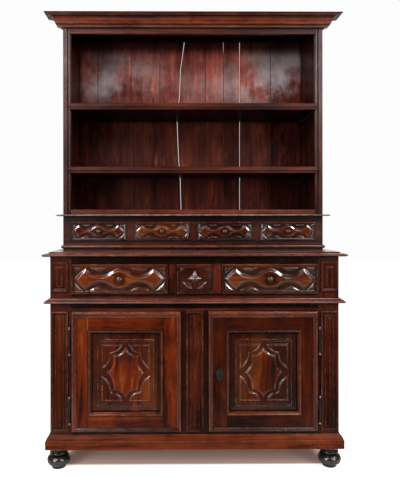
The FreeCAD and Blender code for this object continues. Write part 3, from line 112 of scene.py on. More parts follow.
# Noise layers: scale (one, or one for each axis), detail and roughness; then the two levels that a layer is
# spread between, and the two shares it gives there if they aren't nought and one.
LAYERS = {
    "wander": ((6.0, 6.0, 2.6), 2.0, 0.55),
    "streaks": ((62.0, 62.0, 2.6), 4.0, 0.55),
    "flames": ((17.0, 17.0, 1.3), 2.0, 0.5),
    "mottle": ((5.0, 5.0, 2.6), 3.0, 0.55),
    "fibre": ((300.0, 300.0, 10.0), 2.0, 0.6),
    "pores": ((760.0, 760.0, 26.0), 1.0, 0.5, 0.60, 0.74),
    "patches": (21.0, 4.0, 0.6, 0.2, 0.7, 0.78, 1.0),
    "dull": ((9.0, 9.0, 6.0), 5.0, 0.62, 0.42, 0.66),
    "scuffs": (70.0, 5.0, 0.65, 0.36, 0.62),
    "places": (19.0, 2.0, 0.5, 0.38, 0.62, 0.25, 1.0),
    "smear": (9.0, 3.0, 0.55),
    "blotch": (140.0, 4.0, 0.55),
    "pits": (420.0, 3.0, 0.55),
    "board_dust_and_sheen": ((5.0, 5.0, 4.0), 5.0, 0.65, 0.35, 0.70),
    "flecks": ((34.0, 34.0, 7.0), 4.0, 0.6, 0.54, 0.72, 0.0, 0.55),
    "haze": (7.0, 4.0, 0.6, 0.35, 0.65, 0.45, 1.0),
    "blade": (30.0, 4.0, 0.6, 0.35, 0.65, 0.20, 0.60),
    "cornice": (6.0, 4.0, 0.6, 0.3, 0.7, 0.15, 0.55),
    "ledge_dust_and_sheen": ((3.0, 9.0, 9.0), 4.0, 0.6, 0.3, 0.7, 0.4, 1.0),
    "scratches": ((20.0, 300.0, 300.0), 3.0, 0.6, 0.40, 0.58),
}
# The middle of every noise.
EVEN = 0.5


class Tree:
    """Short ways to add and join the nodes of one node tree."""

    def __init__(self, tree):
        self.tree = tree

    def put(self, socket, value):
        """Join a socket to another, or give it a plain value."""
        if isinstance(value, bpy.types.NodeSocket):
            self.tree.links.new(value, socket)
        else:
            socket.default_value = value

    def add(self, kind, values=(), **settings):
        """A new node's outputs; values are pairs of an input and what goes there."""
        node = self.tree.nodes.new(kind)
        for key, value in settings.items():
            setattr(node, key, value)
        for key, value in values:
            self.put(node.inputs[key], value)
        return node.outputs

    def math(self, operation, *values, clamp=False):
        """One operation over its values, from the first to the last."""
        total = values[0]
        for value in values[1:]:
            pair = enumerate((total, value))
            total = self.add("ShaderNodeMath", pair, operation=operation, use_clamp=clamp)[0]
        return total

    def times(self, *values, clamp=False):
        return self.math("MULTIPLY", *values, clamp=clamp)

    def plus(self, *values, clamp=False):
        return self.math("ADD", *values, clamp=clamp)

    def minus(self, first, second):
        return self.math("SUBTRACT", first, second)

    def most(self, *values):
        return self.math("MAXIMUM", *values)

    def size(self, value):
        """The value without its sign."""
        return self.math("ABSOLUTE", value, 0.0)

    def vector(self, operation, first, second):
        return self.add("ShaderNodeVectorMath", enumerate((first, second)), operation=operation)

    def dimmed(self, colour, share):
        return self.add("ShaderNodeVectorMath", ((0, colour), ("Scale", share)), operation="SCALE")[0]

    def scaled(self, vector, scale, turn=(0.0, 0.0, 0.0)):
        return self.add("ShaderNodeMapping", (("Vector", vector), ("Rotation", turn), ("Scale", scale)))[0]

    def layer(self, place, name):
        """One of the noise layers, spread between its levels if it has them."""
        scale, detail, rough, *levels = LAYERS[name]
        if isinstance(scale, tuple):
            place, scale = self.scaled(place, scale), 1.0
        noise = self.add("ShaderNodeTexNoise", (
            ("Vector", place), ("Scale", scale), ("Detail", detail), ("Roughness", rough)))["Fac"]
        return self.range(noise, *levels) if levels else noise

    def range(self, value, low, high, to_low=0.0, to_high=1.0, smooth=True):
        kind = "SMOOTHSTEP" if smooth else "LINEAR"
        return self.add("ShaderNodeMapRange", (
            ("Value", value), ("From Min", low), ("From Max", high), ("To Min", to_low), ("To Max", to_high),
        ), interpolation_type=kind)[0]

    def mix(self, share, first, second):
        """The first colour, with a share of the second over it."""
        return self.add("ShaderNodeMix", ((0, share), (6, first), (7, second)), data_type="RGBA")[2]

    def joined(self, *parts):
        return self.add("ShaderNodeCombineXYZ", enumerate(parts))[0]

    def parts(self, vector):
        return self.add("ShaderNodeSeparateXYZ", ((0, vector),))

    def attribute(self, name):
        return self.add("ShaderNodeAttribute", attribute_name=name)

    def place(self):
        """The place on the piece, in its own frame."""
        return self.add("ShaderNodeTexCoord")["Object"]

    def bumps(self, height, strength, depth, *normal):
        """A normal made uneven by a height."""
        return self.add("ShaderNodeBump", (
            ("Strength", strength), ("Distance", depth), ("Height", height), *normal))["Normal"]

    def band(self, value, low, high, blur):
        """One from low to high, fading over the blur at both ends."""
        return self.times(
            self.range(value, low - blur, low + blur), self.range(value, high + blur, high - blur))

    def between(self, value, low, high):
        """One where a value lies between two others, and nought elsewhere."""
        return self.times(self.math("GREATER_THAN", value, low), self.math("LESS_THAN", value, high))


def new_group(name, inputs, outputs):
    """An empty node group with the named inputs and outputs, each given with its kind."""
    group = bpy.data.node_groups.new(name, "ShaderNodeTree")
    for way, sockets in (("INPUT", inputs), ("OUTPUT", outputs)):
        for socket, kind in sockets.items():
            group.interface.new_socket(socket, in_out=way, socket_type="NodeSocket" + kind)
    given = group.nodes.new("NodeGroupInput").outputs
    return group, Tree(group), given, group.nodes.new("NodeGroupOutput").inputs


def new_material(name):
    """A new material, its tree and the inputs of its shader."""
    material = bpy.data.materials.new(name)
    material.use_nodes = True
    return material, Tree(material.node_tree), material.node_tree.nodes["Principled BSDF"].inputs


# Walnut figure: how far a seed shifts it and the grain wanders, each layer's share of the tone, where the
# colours lie in it, how dark the pores are, and what stands out.
SEED_SHIFT = (1.37, 0.71, 2.11)
WANDER = 0.07
FIGURE_SHARES = (1.0, 0.9, 0.8, 0.45)
DARK_TONE, MIDDLE_TONE, LIGHT_TONE = 0.14, 0.5, 0.88
PORE_DARK = 0.5
FIBRE_HEIGHT, PORE_DEPTH, MOTTLE_HEIGHT = 0.5, 0.8, 0.6


def figure_group():
    """Walnut figure along Z of the given place: wandering streaks, soft flames and fine pores."""
    group, tree, given, out = new_group(
        "walnut_figure",
        {"Place": "Vector", "Seed": "Float", "Dark": "Color", "Middle": "Color", "Light": "Color"},
        {"Colour": "Color", "Height": "Float"})
    shift = tree.joined(*(tree.times(given["Seed"], share) for share in SEED_SHIFT))
    place = tree.vector("ADD", given["Place"], shift)[0]
    wander = tree.times(tree.minus(tree.layer(place, "wander"), EVEN), WANDER)
    bent = tree.vector("ADD", place, tree.joined(wander, wander))[0]
    streaks, flames, fibre, pores = (
        tree.layer(bent, name) for name in ("streaks", "flames", "fibre", "pores"))
    mottle = tree.layer(place, "mottle")
    tone = 0.0
    for layer, share in zip((streaks, flames, mottle, fibre), FIGURE_SHARES):
        tone = tree.plus(tone, tree.times(tree.minus(layer, EVEN), share))
    tone = tree.plus(tone, EVEN, clamp=True)
    colour = tree.mix(tree.range(tone, DARK_TONE, MIDDLE_TONE), given["Dark"], given["Middle"])
    colour = tree.mix(tree.range(tone, MIDDLE_TONE, LIGHT_TONE), colour, given["Light"])
    tree.put(out["Colour"], tree.mix(tree.times(pores, PORE_DARK), colour, given["Dark"]))
    height = tree.minus(tree.times(fibre, FIBRE_HEIGHT), tree.times(pores, PORE_DEPTH))
    tree.put(out["Height"], tree.plus(height, tree.times(mottle, MOTTLE_HEIGHT)))
    return group


# What counts as shut in, which is darkened with wax and painted shade, and as open, as an edge and as an
# underside, which is darkened with painted shade; and how much rougher wax is.
SHUT_LEVELS = (0.30, 0.94, 1.0, 0.0)
OPEN_LEVELS = (0.55, 0.85)
EDGE_LEVELS = (0.985, 0.86)
UNDER_LEVELS = (-0.35, -0.8)
WAX_ROUGH = 0.10
NEAR_SAMPLES, BEVEL_SAMPLES = 5, 4


def age_and_shade_group():
    """Old polish: dark wax and painted shade in the corners, where the ambient occlusion finds them, painted
    shade on undersides, and paler wood where edges and high places are rubbed.
    """
    shares = ("Reach", "Edge", "Wear", "Hollow", "Rim", "Patina", "Under")
    group, tree, given, out = new_group(
        "age_wear_and_shade",
        {"Colour": "Color", "Place": "Vector", "Wax": "Color", "Rubbed": "Color",
         **dict.fromkeys(shares, "Float")},
        {"Colour": "Color", "Rough": "Float", "Normal": "Vector"})
    patches, dull, scuffs, places = (
        tree.layer(given["Place"], name) for name in ("patches", "dull", "scuffs", "places"))
    # Wax and painted shade: the ambient occlusion darkens corners and recesses towards the dark wax colour.
    near = tree.add("ShaderNodeAmbientOcclusion", [("Distance", given["Reach"])], samples=NEAR_SAMPLES)["AO"]
    shut = tree.most(tree.range(near, *SHUT_LEVELS), given["Hollow"])
    shut = tree.plus(shut, tree.times(tree.times(dull, given["Patina"]), tree.minus(1.0, shut)))
    shut = tree.times(shut, patches, clamp=True)
    bevel = tree.add("ShaderNodeBevel", [("Radius", given["Edge"])], samples=BEVEL_SAMPLES)["Normal"]
    face = tree.add("ShaderNodeNewGeometry")["Normal"]
    edge = tree.range(tree.vector("DOT_PRODUCT", bevel, face)["Value"], *EDGE_LEVELS)
    edge = tree.most(tree.times(edge, tree.range(near, *OPEN_LEVELS)), given["Rim"])
    edge = tree.times(tree.times(edge, scuffs, places), given["Wear"], clamp=True)
    colour = tree.mix(edge, tree.mix(shut, given["Colour"], given["Wax"]), given["Rubbed"])
    # Painted shade: faces that look down are darkened towards the dark wax colour.
    below = tree.times(tree.range(tree.parts(face)["Z"], *UNDER_LEVELS), given["Under"])
    tree.put(out["Colour"], tree.mix(below, colour, given["Wax"]))
    tree.put(out["Rough"], tree.times(shut, WAX_ROUGH))
    tree.put(out["Normal"], bevel)
    return group


FIGURE = figure_group()
AGE_AND_SHADE = age_and_shade_group()

# Turns that lay a piece's grain along the figure's Z: along X, along Y, or upright.
GRAIN_TURNS = {"x": (0.0, math.pi / 2, 0.0), "y": (math.pi / 2, 0.0, 0.0), "z": (0.0, 0.0, 0.0)}
WAX_AND_SHADE = (0.0035, 0.0012, 0.0009, 1.0)
RUBBED = (0.27, 0.115, 0.07, 1.0)
GLINT_METAL = (0.20, 0.175, 0.15, 1.0)
# The depth of the wood's and the metal's bumps, how smeared a polish is, and how blotched old metal is.
WOOD_BUMPS, METAL_BUMPS, METAL_PITTED = 0.0012, 0.0006, 0.3
SMEAR_LEVELS = (0.3, 0.7)
SMOOTHER, ROUGHER = 0.06, 0.08
BLOTCH_LEVELS = (0.35, 0.65)
BLOTCH_DARK = 0.35
BLOTCH_ROUGHER, BLOTCH_SMOOTHER = 0.15, 0.08


def grain_place(tree, grain):
    """The place that the figure follows: turned for one grain, taken from the piece, or chosen by a mask
    that gives the share of level grain."""
    if grain == "laid":
        return tree.attribute("laid")["Vector"]
    place = tree.place()
    level = tree.scaled(place, (1.0, 1.0, 1.0), GRAIN_TURNS["x" if callable(grain) else grain])
    return tree.mix(grain(tree, place), place, level) if callable(grain) else level


def wood(name, grain, seed, palette, *tones, rough=0.25, specular=0.14, wear=0.5, rubbed=RUBBED, reach=0.03,
         edge=0.0015, bump=0.2, patina=0.4, under=0.9):
    """Waxed walnut: figure, tones of its own, some of which paint light and shade, age with painted shade in
    corners and on undersides, fine bumps and an uneven polish.
    """
    material, tree, shader = new_material(name)
    place = tree.place()
    dark, middle, light = palette
    figure = tree.add("ShaderNodeGroup", (
        ("Place", grain_place(tree, grain)), ("Seed", seed), ("Dark", dark), ("Middle", middle),
        ("Light", light)), node_tree=FIGURE)
    colour = figure["Colour"]
    for tone in tones:
        colour = tone(tree, place, colour)
    aged_and_shaded = tree.add("ShaderNodeGroup", (
        ("Colour", colour), ("Place", place), ("Wax", WAX_AND_SHADE), ("Rubbed", rubbed), ("Reach", reach),
        ("Edge", edge), ("Wear", wear), ("Hollow", tree.attribute("hollow")["Fac"]),
        ("Rim", tree.attribute("rim")["Fac"]), ("Patina", patina), ("Under", under)), node_tree=AGE_AND_SHADE)
    polish = tree.range(tree.layer(place, "smear"), *SMEAR_LEVELS, rough - SMOOTHER, rough + ROUGHER)
    tree.put(shader["Base Color"], aged_and_shaded["Colour"])
    tree.put(shader["Roughness"], tree.plus(polish, aged_and_shaded["Rough"]))
    tree.put(shader["Normal"], tree.bumps(figure["Height"], bump, WOOD_BUMPS, ("Normal", aged_and_shaded["Normal"])))
    tree.put(shader["Specular IOR Level"], specular)
    return material


def old_metal(name, colour, rough, rubbed=(), metallic=0.85):
    """Old metal: blotched colour and roughness with a little pitting, with painted highlights at some
    heights.
    """
    material, tree, shader = new_material(name)
    place = tree.place()
    blotch = tree.layer(place, "blotch")
    darker = tuple(part * BLOTCH_DARK for part in colour[:3]) + (1.0,)
    blotched = tree.mix(tree.range(blotch, *BLOTCH_LEVELS), darker, colour)
    # Painted highlights: bright metal at the given heights stands for glints.
    for low, high in rubbed:
        blotched = tree.mix(tree.between(tree.parts(place)["Z"], low, high), blotched, GLINT_METAL)
    tree.put(shader["Base Color"], blotched)
    tree.put(shader["Roughness"], tree.range(
        blotch, *SMEAR_LEVELS, rough + BLOTCH_ROUGHER, rough - BLOTCH_SMOOTHER))
    tree.put(shader["Metallic"], metallic)
    tree.put(shader["Normal"], tree.bumps(tree.layer(place, "pits"), METAL_PITTED, METAL_BUMPS))
    return material


# Shapes worked out with numpy

SHARP_TURN = math.radians(38)
GRAIN_SHIFT = (1.7, 0.9, 2.3)


def box_of(name):
    """A node's lowest and highest corners as two arrays."""
    low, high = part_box(name)
    return np.array(low), np.array(high)


class Shell:
    """One closed surface: its points, its faces, and what the finishes read at each point."""

    def __init__(self, points, quads, caps, rim=0.0, hollow=0.0):
        self.rim = np.broadcast_to(rim, points.shape[:-1]).ravel()
        self.hollow = np.broadcast_to(hollow, points.shape[:-1]).ravel()
        self.points = points.reshape(-1, 3)
        self.quads = quads
        self.caps = caps
        self.laid = self.points

    def grain(self, axis, seed):
        """Lay the grain along one axis: the figure reads the place with that axis as its Z."""
        order = {"x": (1, 2, 0), "y": (2, 0, 1), "z": (0, 1, 2)}[axis]
        self.laid = self.points[:, order] + np.array(GRAIN_SHIFT) * seed
        return self


def grid_quads(rows, columns, closed=False):
    """Faces of a grid of points. A closed grid joins each row's last point to its first."""
    row = np.arange(rows - 1)[:, None]
    column = np.arange(columns if closed else columns - 1)[None, :]
    beside = (column + 1) % columns
    corners = [row * columns + column, row * columns + beside,
               (row + 1) * columns + beside, (row + 1) * columns + column]
    return np.stack([corner.ravel() for corner in corners], axis=1)


def make_piece(name, shells, material, body, *replaced):
    """Join shells into one smooth mesh with sharp turns, on its body and in the place of some nodes."""
    points, faces, start = [], [], 0
    for shell in shells:
        points.append(shell.points)
        faces += (shell.quads + start).tolist()
        faces += [[index + start for index in cap] for cap in shell.caps]
        start += len(shell.points)
    mesh = bpy.data.meshes.new(name)
    mesh.from_pydata(np.concatenate(points).tolist(), [], faces)
    for label in ("rim", "hollow"):
        layer = mesh.attributes.new(label, "FLOAT", "POINT")
        layer.data.foreach_set("value", np.concatenate([getattr(shell, label) for shell in shells]))
    layer = mesh.attributes.new("laid", "FLOAT_VECTOR", "POINT")
    layer.data.foreach_set("vector", np.concatenate([shell.laid for shell in shells]).ravel())
    mesh.polygons.foreach_set("use_smooth", np.ones(len(faces), dtype=bool))
    mesh.set_sharp_from_angle(angle=SHARP_TURN)
    mesh.materials.append(material)
    piece = bpy.data.objects.new(name, mesh)
    bpy.context.scene.collection.objects.link(piece)
    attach(piece, body)
    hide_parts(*replaced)


def smooth_step(value, low, high):
    """Nought below low, one above high, and an even S between them."""
    share = np.clip((value - low) / (high - low), 0.0, 1.0)
    return share * share * (3.0 - 2.0 * share)


def bump_at(value, centre, half):
    """One at the centre, falling evenly to nought a half width away."""
    return 1.0 - smooth_step(np.abs(value - centre), 0.0, half)


def soft_lines(distance, rows, scale=1.0):
    """The strongest of some soft lines: each has its place, its half width and its strength."""
    return np.max([share * bump_at(distance, place * scale, half) for place, half, share in rows], axis=0)


# The waves of a planed face: their slants, their fineness and their shift; and what the plane takes off.
WAVES = ((0.4, 1.0), (1.9, 1.7), (2.9, 2.6))
WAVE_SHIFT = 5.0
SKIM = 0.0002


def unevenness(first, second, size, seed):
    """A gentle wave field between -1 and 1."""
    total = 0.0
    for slant, factor in WAVES:
        across = first * math.cos(slant + seed) + second * math.sin(slant + seed)
        total = total + np.sin(across / size * factor + seed * factor * WAVE_SHIFT)
    return total / len(WAVES)


def planed(rise, x, z, depth, size, seed):
    """A rise planed a little uneven, which nowhere passes its own height."""
    return rise - SKIM + depth * unevenness(x, z, size, seed)


def bowed_outline(corners, steps=9):
    """Points round a closed outline. Each corner gives its place and the bow of the stretch after it."""
    share = np.arange(steps)[:, None] / steps
    stretches = []
    for here, there in zip(corners, corners[1:] + corners[:1]):
        start = np.array(here[:2])
        chord = np.array(there[:2]) - start
        across = np.array((-chord[1], chord[0])) / np.hypot(*chord)
        stretches.append(start + share * chord + 4.0 * share * (1.0 - share) * here[2] * across)
    return np.concatenate(stretches)


# Keeps a division safe where two points fall together.
LEAST_SQUARE = 1e-18


def inside_distance(outline, x, z):
    """Distance from each place to an outline: positive inside, negative outside."""
    best = np.full(x.shape, np.inf)
    crossed = np.zeros(x.shape, dtype=bool)
    for (ax, az), (bx, bz) in zip(outline, np.roll(outline, -1, axis=0)):
        run_x, run_z = bx - ax, bz - az
        length = max(run_x * run_x + run_z * run_z, LEAST_SQUARE)
        share = np.clip(((x - ax) * run_x + (z - az) * run_z) / length, 0.0, 1.0)
        best = np.minimum(best, (x - ax - share * run_x) ** 2 + (z - az - share * run_z) ** 2)
        if run_z:
            crossed ^= ((az > z) != (bz > z)) & (x < ax + run_x * (z - az) / run_z)
    return np.where(crossed, 1.0, -1.0) * np.sqrt(best)


def at_depth(points, depth):
    """The same points, all at one depth."""
    return points * (1.0, 0.0, 1.0) + (0.0, depth, 0.0)


def rectangle_distance(x, z, half_x, half_z):
    """Distance in from the sides of a rectangle round the middle, negative outside."""
    return np.minimum(half_x - np.abs(x), half_z - np.abs(z))


def carved_slab(low, high, face, cell, carving):
    """A board between two corners. Each point of an even grid over its front stands out of the face by
    carving(x, z), x and z from the board's middle."""
    columns, rows = (int(round((high[axis] - low[axis]) / cell)) + 1 for axis in (0, 2))
    x, z = np.meshgrid(np.linspace(low[0], high[0], columns), np.linspace(low[2], high[2], rows))
    rise, rim, hollow = carving(x - (low[0] + high[0]) / 2, z - (low[2] + high[2]) / 2)
    front = np.stack([x, face - rise, z], axis=-1).reshape(-1, 3)
    index = np.arange(rows * columns).reshape(rows, columns)
    edge = np.concatenate([index[0, :-1], index[:-1, -1], index[-1, :0:-1], index[:0:-1, 0]])
    rear = at_depth(front[edge], high[1])
    behind = np.arange(len(edge)) + len(front)
    sides = np.stack([edge, behind, np.roll(behind, -1), np.roll(edge, -1)], axis=1)
    quads = np.concatenate([grid_quads(rows, columns), sides])
    blank = np.zeros(len(edge))
    return Shell(
        np.concatenate([front, rear]), quads, [behind[::-1].tolist()],
        np.concatenate([rim.ravel(), blank]), np.concatenate([hollow.ravel(), blank]))


# A rounded corner has a guard point on each side, some cuts away, and all stay within a share of the side.
# By its turn it counts as an outer edge or as an inner corner.
GUARD, GUARD_MOST, CUT_MOST = 2.4, 0.48, 0.33
OUTER_TURN, INNER_TURN = (0.25, 1.2), (0.15, 0.9)
BEND_MARKS = (0.0, 0.8, 1.0, 0.8, 0.0)


def rounded(profile, cut):
    """A closed profile with bent corners. Columns three and four say how far a point is on an outer edge or
    in an inner corner."""
    profile = np.asarray(profile, dtype=float)
    ahead = np.roll(profile, -1, axis=0) - profile
    behind = np.roll(ahead, 1, axis=0)
    turn = np.arctan2(
        behind[:, 0] * ahead[:, 1] - behind[:, 1] * ahead[:, 0], (behind * ahead).sum(axis=1))
    area = (profile[:, 0] * np.roll(profile[:, 1], -1) - profile[:, 1] * np.roll(profile[:, 0], -1)).sum()
    turn = turn * np.sign(area)

    def along(way, factor, most):
        return profile + way * np.minimum(factor * cut / np.hypot(*way.T)[:, None], most)

    before, after = along(-behind, 1.0, CUT_MOST), along(ahead, 1.0, CUT_MOST)
    bend = (before + 2.0 * profile + after) / 4.0
    points = np.stack(
        [along(-behind, GUARD, GUARD_MOST), before, bend, after, along(ahead, GUARD, GUARD_MOST)], axis=1)
    marks = np.stack([smooth_step(turn, *OUTER_TURN), smooth_step(-turn, *INNER_TURN)], axis=1)
    spread = np.array(BEND_MARKS)[None, :, None] * marks[:, None, :]
    return np.concatenate([points, spread], axis=2).reshape(-1, 4)


def tube_shell(rings, rim, hollow):
    """A form from rings of points, capped at both ends. The first ring's area against the way that the
    rings go tells which side is out."""
    steps, count = rings.shape[:2]
    quads = grid_quads(steps, count, True)
    first = list(range(count))
    last = [(steps - 1) * count + index for index in first]
    area = np.cross(rings[0], np.roll(rings[0], -1, axis=0)).sum(axis=0)
    if area @ (rings[-1].mean(axis=0) - rings[0].mean(axis=0)) < 0:
        quads, first, last = quads[:, ::-1], first[::-1], last[::-1]
    return Shell(rings, quads, [first[::-1], last], rim, hollow)


# Steps along the front, the ends and a door's mouldings, and round the turned forms.
FRONT_STEPS, END_STEPS, RING_STEPS = 90, 24, 40
KNOB_AROUND, FOOT_AROUND = 64, 72


def straight_rings(start, end, steps):
    """The profile slides evenly from its start to its end place."""
    share = np.linspace(0.0, 1.0, steps)[:, None, None]
    return start[None] * (1.0 - share) + end[None] * share


def placed_profile(half_span, face, bottom, out, front_out, up):
    """A profile's points at the two front corners, left and right."""
    return [
        np.stack([side * (half_span + out), face - front_out, bottom + up], axis=1) for side in (-1.0, 1.0)]


def wrapped_lengths(half_span, face, rear, bottom, profile, seed):
    """Three mitred lengths round the front and both ends, which stop at the rear."""
    out, up = profile[:, 0], profile[:, 1]
    left, right = placed_profile(half_span, face, bottom, out, out, up)
    lengths = []
    for number, (start, end, axis, steps) in enumerate((
            (left, right, "x", FRONT_STEPS), (at_depth(left, rear), left, "y", END_STEPS),
            (right, at_depth(right, rear), "y", END_STEPS))):
        rings = straight_rings(start, end, steps)
        lengths.append(tube_shell(rings, *profile[:, 2:].T).grain(axis, seed + number))
    return lengths


def ring_lengths(low, high, widths, profile, face, rise, seed):
    """Four mitred lengths round a frame: lower, right, upper, left. A profile's points are shares of the
    width inward and of the rise outward. widths are left, right, lower, upper."""
    left, right, lower, upper = widths
    inward, outward = profile[:, 0], profile[:, 1]
    y = face - rise * outward
    x_low, x_high = low[0] + left * inward, high[0] - right * inward
    z_low, z_high = low[2] + lower * inward, high[2] - upper * inward
    corners = [
        np.stack([x, y, z], axis=1)
        for x, z in ((x_low, z_low), (x_high, z_low), (x_high, z_high), (x_low, z_high))
    ]
    lengths = []
    for side, (start, end) in enumerate(zip(corners, corners[1:] + corners[:1])):
        rings = straight_rings(start, end, RING_STEPS)
        lengths.append(tube_shell(rings, *profile[:, 2:].T).grain("xzxz"[side], seed + side))
    return lengths


def turned_shell(radii, heights, centre, facing, around, rim=0.0, hollow=0.0):
    """A turned form, whose height runs up or, for a knob, to the front."""
    angle = np.linspace(0.0, 2.0 * math.pi, around, endpoint=False)[None, :]
    radius = np.asarray(radii)[:, None]
    height = np.broadcast_to(np.asarray(heights)[:, None], (len(radii), around))
    first, second = radius * np.cos(angle), radius * np.sin(angle)
    points = [first, second, height] if facing == "up" else [first, -height, second]
    return tube_shell(np.stack(points, axis=-1) + np.array(centre), rim, hollow)


def flowing(stations, count):
    """A smooth line through stations, by Catmull-Rom cubics."""
    stations = np.asarray(stations, dtype=float)
    first, last = 2 * stations[:1] - stations[1:2], 2 * stations[-1:] - stations[-2:-1]
    padded = np.concatenate([first, stations, last])
    place = np.linspace(0.0, len(stations) - 1.0, count)
    index = np.minimum(place.astype(int), len(stations) - 2)
    share = (place - index)[:, None]
    p0, p1, p2, p3 = (padded[index + step] for step in range(4))
    return 0.5 * (2 * p1 + (p2 - p0) * share + (2 * p0 - 5 * p1 + 4 * p2 - p3) * share ** 2
                  + (3 * p1 - p0 - 3 * p2 + p3) * share ** 3)


# Finishes

RED = ((0.018, 0.0022, 0.0007, 1), (0.118, 0.0142, 0.0021, 1), (0.255, 0.052, 0.0075, 1))
RUSSET = ((0.024, 0.0036, 0.0012, 1), (0.112, 0.0190, 0.0042, 1), (0.200, 0.044, 0.0095, 1))
DEEP = ((0.013, 0.0022, 0.0012, 1), (0.060, 0.0095, 0.0034, 1), (0.120, 0.024, 0.0080, 1))
GLOW = ((0.020, 0.0030, 0.0012, 1), (0.092, 0.0150, 0.0048, 1), (0.180, 0.036, 0.0105, 1))
GOLD = ((0.022, 0.0042, 0.0015, 1), (0.094, 0.0205, 0.0052, 1), (0.180, 0.050, 0.0120, 1))
RACK = ((0.010, 0.0022, 0.0016, 1), (0.042, 0.0080, 0.0042, 1), (0.085, 0.019, 0.0090, 1))
BACK = ((0.010, 0.0022, 0.0017, 1), (0.043, 0.0078, 0.0050, 1), (0.088, 0.0185, 0.0105, 1))
PALE = ((0.05, 0.02, 0.01, 1), (0.13, 0.055, 0.025, 1), (0.20, 0.09, 0.04, 1))
BLACK = ((0.006, 0.0052, 0.0046, 1), (0.017, 0.0145, 0.012, 1), (0.04, 0.032, 0.026, 1))
PALE_GLARE = (0.40, 0.27, 0.22, 1.0)
CORNICE_PAINTED_LIGHT = (0.42, 0.175, 0.12, 1.0)
FLECK = (0.16, 0.030, 0.012, 1.0)
GOLDEN_RIM = (0.30, 0.115, 0.045, 1.0)
PALE_WEAR_DUST_AND_SHEEN = (0.40, 0.37, 0.37, 1.0)
DUST_AND_SHEEN = (0.42, 0.34, 0.345, 1.0)
IRON = (0.07, 0.06, 0.055, 1)
HINGE_IRON = (0.05, 0.042, 0.036, 1)
BRONZE = (0.16, 0.10, 0.065, 1)

# Where a door's rails lie: between its stiles. Where the base's long rails lie: by height.
RAIL_SPAN = (0.149, 0.500)
BASE_RAILS = ((0.100, 0.1845), (0.7535, 0.829), (0.975, 1.02))
# Painted shade and old wax beside the muntin, up to the doors' top, and the heights where they are painted on
# the base's frame.
MUNTIN_GAP = (0.040, 0.066)
DOOR_TOP = 0.76
SHADE_AND_WAX_BANDS = ((0.178, 0.188), (0.764, 0.794), (0.822, 0.836), (0.972, 1.02))
GAP_SHADE_AND_WAX, FRAME_SHADE_AND_WAX = 0.8, 0.93
# Bands by height, each with its share: painted shade on the drawer case, painted light in pale bands and
# painted shade in dark lines on the cornice, and dust with a painted sheen on the waist moulding and the
# worktop.
CASE_SHADE = ((1.172, 1.21, 0.9), (1.066, 1.078, 0.9))
CORNICE_LIT_BANDS = ((2.1405, 2.1475, 1.0), (2.1700, 2.1715, 1.0), (2.1850, 2.1893, 1.0))
CORNICE_SHADE_BANDS = ((2.130, 2.1390, 0.85), (2.1485, 2.1512, 0.85), (2.1805, 2.1840, 0.85), (2.1895, 2.1908, 0.85))
DUST_AND_SHEEN_BANDS = ((0.7925, 0.7975, 0.16), (0.8035, 0.8075, 0.10), (1.0085, 1.0125, 0.14), (1.0205, 1.0240, 0.20),
         (1.0285, 1.0320, 0.12))
SOFT_BLUR, FINE_BLUR = 0.005, 0.0008
# Heights at which the hinges' finials are painted bright: painted highlights for their glints.
FINIAL_GLINTS = ((0.546, 0.556), (0.667, 0.677), (0.221, 0.231), (0.342, 0.352))
# The scratched pale line on the rack's foot bead, partly wear and partly a painted highlight: heights,
# middle, where it begins to fade and where it ends.
SCUFF_SPAN = (1.0345, 1.0385)
SCUFF_MIDDLE, SCUFF_FULL, SCUFF_HALF, SCUFF_PALE = -0.10, 0.264, 0.33, 0.75
# The waist board's blade, whose edge carries a painted reflection: its heights, and where it stands out in
# front and at the ends.
BLADE_SPAN = (1.198, 1.208)
BLADE_BACK, BLADE_HALF = -0.090, 0.662
# The stiles' painted sheen with some bloom, from its lowest to its highest place.
STILE_SHEEN_AND_BLOOM = (1.30, 2.05, 0.0, 0.10)
# Back boards: the joints as shares of the half width, and each board's depth of colour between them.
RACK_JOINTS = (-0.81, -0.52, -0.268, 0.13, 0.288, 0.43, 0.70)
RACK_TONES = (0.40, 0.62, 0.30, 0.55, 0.72, 0.35, 0.80, 0.28)
RACK_HALF = 0.650
TONE_LEVELS = (0.2, 0.85, 0.75, 1.35)
# Dust with a painted sheen on the back boards, the painted light with some fading that brightens them in two
# steps of height, and the painted shadow that darkens them below the rack's top.
DUST_AND_SHEEN_ASIDE = (0.12, 0.42, 0.30, 1.0)
DUST_AND_SHEEN_RIGHT = (0.25, 0.45, 1.0, 1.5)
DUST_AND_SHEEN_HEIGHT = (1.74, 1.95)
DUST_AND_SHEEN_SHARE = 0.85
PAINTED_LIGHT_LOW, PAINTED_LIGHT_HIGH = (1.74, 1.86, 1.0, 2.2), (1.88, 2.14, 1.0, 2.5)
TOP_SHADOW = (2.08, 2.165)
SHADOW_DUST, SHADOW_DARKNESS = (1.0, 0.2), (0.0, 0.88)


def shaded(palette, depth):
    """The same three colours, deeper by a share."""
    return [tuple(part * depth for part in colour[:3]) + (1.0,) for colour in palette]


def door_rails(tree, place):
    """A door's rails run between its stiles, on the left door and on the right one."""
    return tree.between(tree.size(tree.parts(place)["X"]), *RAIL_SPAN)


def base_rails(tree, place):
    """The base front's rails, by their heights; all else in the frame is upright."""
    height = tree.parts(place)["Z"]
    return tree.most(*(tree.between(height, *span) for span in BASE_RAILS))


